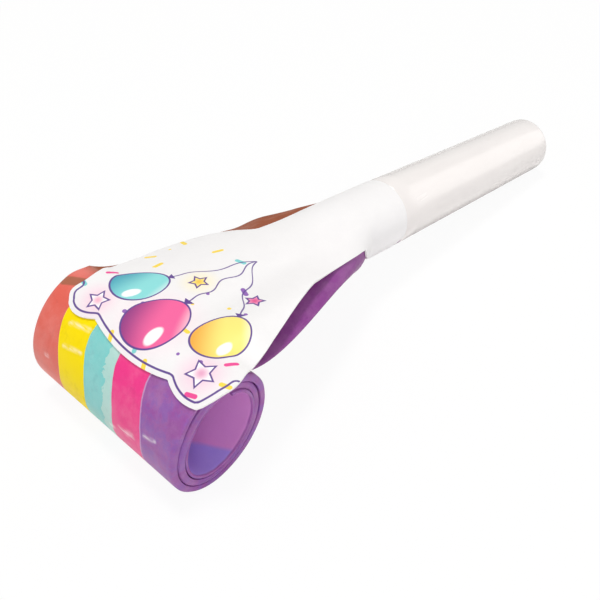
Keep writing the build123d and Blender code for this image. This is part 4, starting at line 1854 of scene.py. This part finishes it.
@dataclass
class CardHood:
    """The white card: a glued collar and the hood that drapes over the throat and the roll's top."""

    tube: PaperTube
    radius: float = 7.05
    thickness: float = 0.35
    lift: float = 0.45
    front_angle: float = math.radians(44.0)
    near_spread: float = 113.0
    far_spread: float = 88.0
    notch: tuple[Pair, ...] = ((3.2, 96.0), (3.4, 84.3))
    cut_back: float = 3.6
    cut_angle: float = 150.0
    lap_start: float = -186.0
    lap_end: float = 194.0
    lap_rise: Pair = (128.0, 166.0)
    lap_room: float = 1.08
    rear_cut: float = 2.0
    rear_cut_rise: Pair = (106.0, 130.0)
    flare: float = 2.5
    flare_lean: float = 0.55
    flare_side: Pair = (4.0, 13.0)
    flare_rise: Pair = (12.0, 24.0)
    flare_fall: Pair = (38.0, 47.0)
    near: tuple[Pair, ...] = (
        (0.11, 8.81), (0.25, 10.0), (0.38, 10.85), (0.43, 11.2), (0.52, 12.7), (0.68, 15.9),
        (0.78, 18.3), (0.88, 20.7), (0.94, 20.3), (0.98, 19.3), (0.995, 18.5),
    )
    far: tuple[Pair, ...] = (
        (0.02, 6.6), (0.06, 5.1), (0.12, 5.0), (0.2, 5.5), (0.3, 6.6), (0.33, 7.5), (0.37, 10.8),
        (0.41, 12.8), (0.46, 14.4), (0.59, 16.4), (0.72, 16.4), (0.81, 15.4), (0.9, 14.5),
        (0.955, 14.9), (0.985, 13.4),
    )
    lobes: tuple[tuple[Pair, ...], ...] = (
        ((0.995, -18.5), (1.0, -15.0), (0.982, -11.5)),
        ((0.982, -11.5), (1.0, -2.5), (0.976, 7.0)),
        ((0.976, 7.0), (0.995, 10.5), (0.985, 13.4)),
    )
    rows: int = 110
    columns: int = 97
    collar_rows: int = 12
    lap_columns: tuple[int, int] = (40, 46)
    lead_in: float = 20.0
    way_turn: float = math.radians(60.0)
    inland: float = 60.0
    border_rows: tuple[int, int] = (14, 8)
    print: PrintedCard = PrintedCard()
    bare: PlainPaper = PlainPaper("bare_card", "E9E7E4", "F6F5F3", 0.45, 0.75, 0.00005)

    def __post_init__(self) -> None:
        """Measure the card's way over the throat, the flat ribbon and the roll."""
        roll, throat = self.tube.roll, self.tube.throat
        offset = throat.ribbon_edge + self.lift
        psi = np.linspace(roll.start, roll.start + self.way_turn, 120)
        bent_u, bent_v = roll.point(psi, offset)
        steps = np.hypot(np.diff(bent_u), np.diff(bent_v))
        flat = -throat.collar_length - roll.top[0]
        self.way_s = np.concatenate([[-self.lead_in], flat + np.concatenate([[0], np.cumsum(steps)])])
        self.way_u = np.concatenate([[self.lead_in - throat.collar_length], bent_u])
        self.way_v = np.concatenate([[0.0], bent_v - roll.top[1] - offset])
        self.tip = float(roll.point(roll.start + self.front_angle, offset)[0])

    def arch(self, u: np.ndarray, late: bool) -> tuple[np.ndarray, np.ndarray]:
        """Radius and pivot height of the hood's arch.

        Args:
            u: Places along.
            late: Whether the card leaves the round collar late, in an easy bend.

        Returns:
            Radius of the outer face and height of its pivot.
        """
        throat = self.tube.throat
        share = throat.share(u)
        eased = throat.flattened(share)
        droop = throat.drooped(share)
        if late:
            eased = eased * throat.held(share)
        wide, rise, _ = throat.lens(
            eased, droop, throat.sleeve_outer, throat.ribbon_half_width, throat.ribbon_edge
        )
        arc = (wide**2 + rise**2) / (2 * rise)
        crest = self.tube.roll.top[1] * eased - droop + throat.ribbon_edge + rise
        return arc + self.lift, crest - arc

    def developed(self, points: tuple[Pair, ...], side: float) -> list[Pair]:
        """Lay out points of the hood's plan on the flat card.

        Args:
            points: Share of the hood's length and distance across.
            side: Sign of the distance.

        Returns:
            Distance along from the collar and across from the middle, on the card.
        """
        laid = []
        for share, distance in points:
            u = -self.tube.throat.collar_length + (self.tip + self.tube.throat.collar_length) * share
            radius = float(self.arch(np.array(u), False)[0])
            along = float(np.interp(-u, -self.way_u, self.way_s))
            laid.append((along, side * radius * math.asin(min(distance / radius, 0.999))))
        return laid

    def lobe(self, points: tuple[Pair, ...]) -> np.ndarray:
        """Trace one lobe of the front edge on the flat card.

        Args:
            points: Its start, top and end, as shares of the hood's length and distances across.

        Returns:
            Places on an arc through the three.
        """
        first, top, last = (
            np.array(self.developed(((share, abs(y)),), math.copysign(1, y))[0]) for share, y in points
        )
        control = 2 * top - (first + last) / 2
        step = np.linspace(0, 1, 30)[:, None]
        return (1 - step) ** 2 * first + 2 * step * (1 - step) * control + step**2 * last

    def edges(self) -> tuple[np.ndarray, np.ndarray, np.ndarray, np.ndarray]:
        """Trace the flat card's four edges.

        Returns:
            The collar's, front, near and far edges.
        """
        first, last = (self.radius * math.radians(turn) for turn in (-self.near_spread, self.far_spread))
        base = np.column_stack([np.zeros(self.columns), np.linspace(first, last, self.columns)])
        outline = self.developed(self.near, -1)
        turns = [(0.0, first), *((along, -self.radius * math.radians(turn)) for along, turn in self.notch)]
        cut = np.vstack([np.linspace(start, end, 5)[:-1] for start, end in zip(turns, turns[1:])])
        near = np.vstack([cut, through([turns[-1], *outline], self.rows - len(cut))])
        far = through([(0.0, last), *self.developed(self.far, 1)], self.rows)
        front = np.vstack([self.lobe(points) for points in self.lobes])
        return base, evenly(front, self.columns), near, far

    def sheet(self) -> tuple[np.ndarray, np.ndarray]:
        """Fill the flat card between its edges.

        Returns:
            Rows by columns of places on the flat card, and their distance from the front edge.
        """
        base, front, near, far = self.edges()
        r = np.linspace(0, 1, self.rows)[:, None, None]
        t = np.linspace(0, 1, self.columns)[None, :, None]
        sides = (1 - t) * near[:, None] + t * far[:, None]
        rails = (1 - r) * base[None] + r * front[None]
        corners = (1 - r) * ((1 - t) * base[0] + t * base[-1]) + r * ((1 - t) * front[0] + t * front[-1])
        flat = sides + rails - corners
        near_rows, far_rows = self.border_rows
        rim = np.vstack([near[-near_rows:], front, far[-far_rows:]])
        gap = np.full(flat.shape[:2], self.inland)
        for place in rim:
            gap = np.minimum(gap, np.linalg.norm(flat - place, axis=-1))
        return flat, gap

    def draped(self, flat: np.ndarray) -> np.ndarray:
        """Bend places on the flat card over the throat and the roll.

        Args:
            flat: Distances along and across on the card.

        Returns:
            Places as (u, y, v).
        """
        along, across = flat[..., 0], flat[..., 1]
        u = np.interp(along, self.way_s, self.way_u)
        radius, pivot = self.arch(u, False)
        y = radius * np.sin(across / radius)
        high = pivot + radius * np.cos(across / radius)
        late_radius, late_pivot = self.arch(u, True)
        late = late_pivot + np.sqrt(np.clip(late_radius**2 - y**2, 0, None))
        upper = (np.abs(y) < late_radius) & (np.cos(across / radius) > 0.02)
        high = np.where(upper, np.maximum(high, late), high)
        level = self.tube.roll.top[1] + self.tube.throat.ribbon_edge + self.lift
        v = level + (high - level) * self.tube.risen(u) + np.interp(along, self.way_s, self.way_v)
        flared = hump(self.flare_rise, self.flare_fall, along)
        stand = self.flare * smooth(*self.flare_side, -across) * flared
        return np.stack([u, y - self.flare_lean * stand, v + stand], -1)

    def collar(self) -> tuple[np.ndarray, np.ndarray]:
        """Wrap the collar round the sleeve, with its glued lap underneath.

        Returns:
            Rows by columns of places, and the distances along and across on the flat card.
        """
        spread = np.linspace(-self.near_spread, self.far_spread, self.columns)
        before = np.linspace(self.lap_start, -self.near_spread, self.lap_columns[0])[:-1]
        after = np.linspace(self.far_spread, self.lap_end, self.lap_columns[1])[1:]
        degrees = np.concatenate([before, spread, after])
        angles = np.radians(degrees)
        radius = self.radius + self.thickness * self.lap_room * smooth(*self.lap_rise, degrees)
        front = -self.cut_back * smooth(self.near_spread, self.cut_angle, np.abs(degrees))
        rear = self.rear_cut * smooth(*self.rear_cut_rise, -degrees) - self.tube.throat.collar_length
        share = np.linspace(0, 1, self.collar_rows)[:, None]
        along = rear * (1 - share) + front * share
        u = -self.tube.throat.collar_length - along
        y, v = radius * np.sin(angles) + 0 * along, radius * np.cos(angles) + 0 * along
        places = np.stack([u, y, v], -1)
        flat = np.stack([along, self.radius * angles + 0 * along], -1)
        return places, flat

    def build(self, axes: BlowerAxes, shared: SharedEffects) -> bpy.types.Object:
        """Make the card as one sheet, give it its thickness and print it.

        Args:
            axes: Where the blower lies.
            shared: The shared node groups.

        Returns:
            The card.
        """
        flat, gap = self.sheet()
        collar, collar_flat = self.collar()
        hood = self.draped(flat)
        wrapped = collar.shape[0] * collar.shape[1]
        places = np.vstack([collar.reshape(-1, 3), hood.reshape(-1, 3)])
        laid = np.vstack([collar_flat.reshape(-1, 2), flat.reshape(-1, 2)])
        gaps = np.concatenate([np.full(wrapped, self.inland), gap.ravel()]).astype(np.float32)
        numbers = np.vstack([self._numbers(collar.shape, 0), self._numbers(hood.shape, wrapped)])
        mesh = bpy.data.meshes.new("card_hood_sheet")
        mesh.from_pydata(places.tolist(), [], numbers.tolist())
        layer = mesh.uv_layers.new(name="UVMap")
        uv = laid / UV_SPAN + np.array(CARD_ORIGIN)
        layer.data.foreach_set("uv", uv[numbers.ravel()].astype(np.float32).ravel())
        mesh.attributes.new("front_gap", "FLOAT", "POINT").data.foreach_set("value", gaps)
        made = MeshWork.settle("card_hood_sheet", axes, mesh, 60.0)
        self._face_out(made)
        made.data.materials.append(self.print.material(shared))
        made.data.materials.append(self.bare.material(shared))
        board = made.modifiers.new("board", "SOLIDIFY")
        board.thickness = self.thickness * MM
        board.offset = -1.0
        board.use_even_offset = False
        board.material_offset = 1
        board.material_offset_rim = 1
        MeshWork.applied(made)
        made.data.set_sharp_from_angle(angle=math.radians(50))
        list(self.tube.bend(axes, 0))
        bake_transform(made)
        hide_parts("card_hood", "card_hood_front")
        return made

    @staticmethod
    def _numbers(shape: tuple[int, ...], first: int) -> np.ndarray:
        """Faces of a plain grid whose vertices are numbered from first."""
        faces = MeshWork.quads(shape[0], shape[1], False, False)
        return faces[..., 0] * shape[1] + faces[..., 1] + first

    @staticmethod
    def _face_out(made: bpy.types.Object) -> None:
        """Turn the sheet so that its print is on the outside, which is up at its highest place."""
        mesh = made.data
        highest = max(mesh.polygons, key=lambda face: face.center.z)
        if highest.normal.z < 0:
            mesh.flip_normals()


@dataclass(frozen=True)
class Lamp:
    """One soft square lamp: where it hangs, what it points at, its width, power and colour."""

    name: str
    place: tuple[float, float, float]
    aim: tuple[float, float, float]
    width: float
    power: float
    tint: str

    def hang(self) -> None:
        """Hang the lamp in the scene."""
        light = bpy.data.lights.new(self.name, "AREA")
        light.shape = "RECTANGLE"
        light.size = self.width
        light.size_y = self.width
        light.energy = self.power
        light.color = paint(self.tint)[:3]
        place = Vector(self.place)
        turn = (Vector(self.aim) - place).to_track_quat("-Z", "Y").to_matrix().to_4x4()
        placed(self.name, light).matrix_world = Matrix.Translation(place) @ turn


@dataclass
class Studio:
    """The plain stage: floor, soft light, white surround and the camera."""

    frame_pixels: float = 600.0
    focal_pixels: float = 830.17
    sensor: float = 36.0
    camera_at: tuple[float, float, float] = (-124.370, -83.325, 81.535)
    forward: tuple[float, float, float] = (0.6339, 0.5152, -0.5768)
    right: tuple[float, float, float] = (0.6821, -0.7240, 0.1029)
    floor_half: float = 3.0
    surround: float = 0.43
    floor_lift: float = 0.92
    lamps: tuple[Lamp, ...] = (
        Lamp("key_softbox", (-0.06, 0.06, 0.7), (0.0, 0.0, 0.01), 0.14, 2.4, "FFFDFA"),
        Lamp("mouth_softbox", (0.547, -0.25, 0.22), (0.0, 0.0, 0.01), 0.45, 0.6, "FFFCF8"),
        Lamp("front_softbox", (-0.36, -0.42, 0.30), (-0.054, -0.018, 0.011), 0.35, 1.05, "FFFDFF"),
    )

    def camera(self, axes: BlowerAxes) -> None:
        """Set the camera where the photograph was taken from, relative to the blower.

        Args:
            axes: Where the blower lies.
        """
        lens = bpy.data.cameras.new("photo_camera")
        lens.sensor_width = self.sensor
        lens.lens = self.focal_pixels / self.frame_pixels * self.sensor
        lens.clip_start = 0.005
        turn = axes.matrix.to_3x3() * (1 / MM)
        back = -(turn @ Vector(self.forward)).normalized()
        right = turn @ Vector(self.right)
        right = (right - back * right.dot(back)).normalized()
        up = back.cross(right)
        place = Matrix((right, up, back)).transposed().to_4x4()
        place.translation = axes.spot(*self.camera_at)
        made = placed("photo_camera", lens)
        made.matrix_world = place
        bpy.context.scene.camera = made

    @staticmethod
    def seen(bench: Bench, *rays: Ray) -> Wire:
        """1 for the kinds of ray that should see a white surround, else 0."""
        path = bench.node("ShaderNodeLightPath")
        first, *rest = (bench.out(path, ray.value) for ray in rays)
        for other in rest:
            first = first.most(other)
        return first

    def sky(self) -> None:
        """Light the object plainly from all round, and show white behind it."""
        world = bpy.data.worlds.new("white_surround")
        bpy.context.scene.world = world
        world.use_nodes = True
        bench = Bench(world.node_tree)
        world.node_tree.nodes.clear()
        seen = self.seen(bench, *Ray)
        strength = seen * (1.0 - self.surround) + self.surround
        sky = bench.node("ShaderNodeBackground", {"Color": WHITE, "Strength": strength})
        output = bench.node("ShaderNodeOutputWorld")
        world.node_tree.links.new(sky.outputs[0], output.inputs["Surface"])

    def floor(self) -> None:
        """Lay a pale floor that keeps the object's shadow."""
        half = self.floor_half
        mesh = bpy.data.meshes.new("floor")
        corners = [(-half, -half, 0), (half, -half, 0), (half, half, 0), (-half, half, 0)]
        mesh.from_pydata(corners, [], [(0, 1, 2, 3)])
        made = placed("floor", mesh)
        material = bpy.data.materials.new("pale_floor")
        material.use_nodes = True
        bench = Bench(material.node_tree)
        material.node_tree.nodes.clear()
        matte = bench.node("ShaderNodeBsdfDiffuse", {"Color": paint("F9F9F9")})
        white = bench.node("ShaderNodeEmission", {"Color": WHITE, "Strength": 1.0})
        lift = self.seen(bench, Ray.CAMERA, Ray.TRANSMISSION) * self.floor_lift
        mixed = bench.node("ShaderNodeMixShader", {0: lift})
        output = bench.node("ShaderNodeOutputMaterial")
        material.node_tree.links.new(matte.outputs[0], mixed.inputs[1])
        material.node_tree.links.new(white.outputs[0], mixed.inputs[2])
        material.node_tree.links.new(mixed.outputs[0], output.inputs["Surface"])
        mesh.materials.append(material)

    def build(self, axes: BlowerAxes) -> None:
        """Set up the stage.

        Args:
            axes: Where the blower lies.
        """
        self.camera(axes)
        self.sky()
        self.floor()
        for lamp in self.lamps:
            lamp.hang()
        bpy.context.scene.view_settings.view_transform = "Standard"


def main() -> None:
    """Build the looks round the frame, in order."""
    logging.basicConfig(level=logging.INFO, format="%(name)s: %(message)s")
    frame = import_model()
    shared = SharedEffects()
    mouthpiece = Mouthpiece()
    axes = BlowerAxes.from_frame(frame, mouthpiece.reach)
    LOG.info("made %s", mouthpiece.build(axes, shared).name)
    Reed().dress(frame["nodes"], shared)
    LOG.info("dressed the reed")
    tube = PaperTube()
    LOG.info("made %d pieces of the paper tube", tube.build(axes, frame["nodes"], shared))
    LOG.info("made %s", CardHood(tube).build(axes, shared).name)
    Studio().build(axes)
    bpy.context.view_layer.update()


if __name__ == "__main__":
    main()
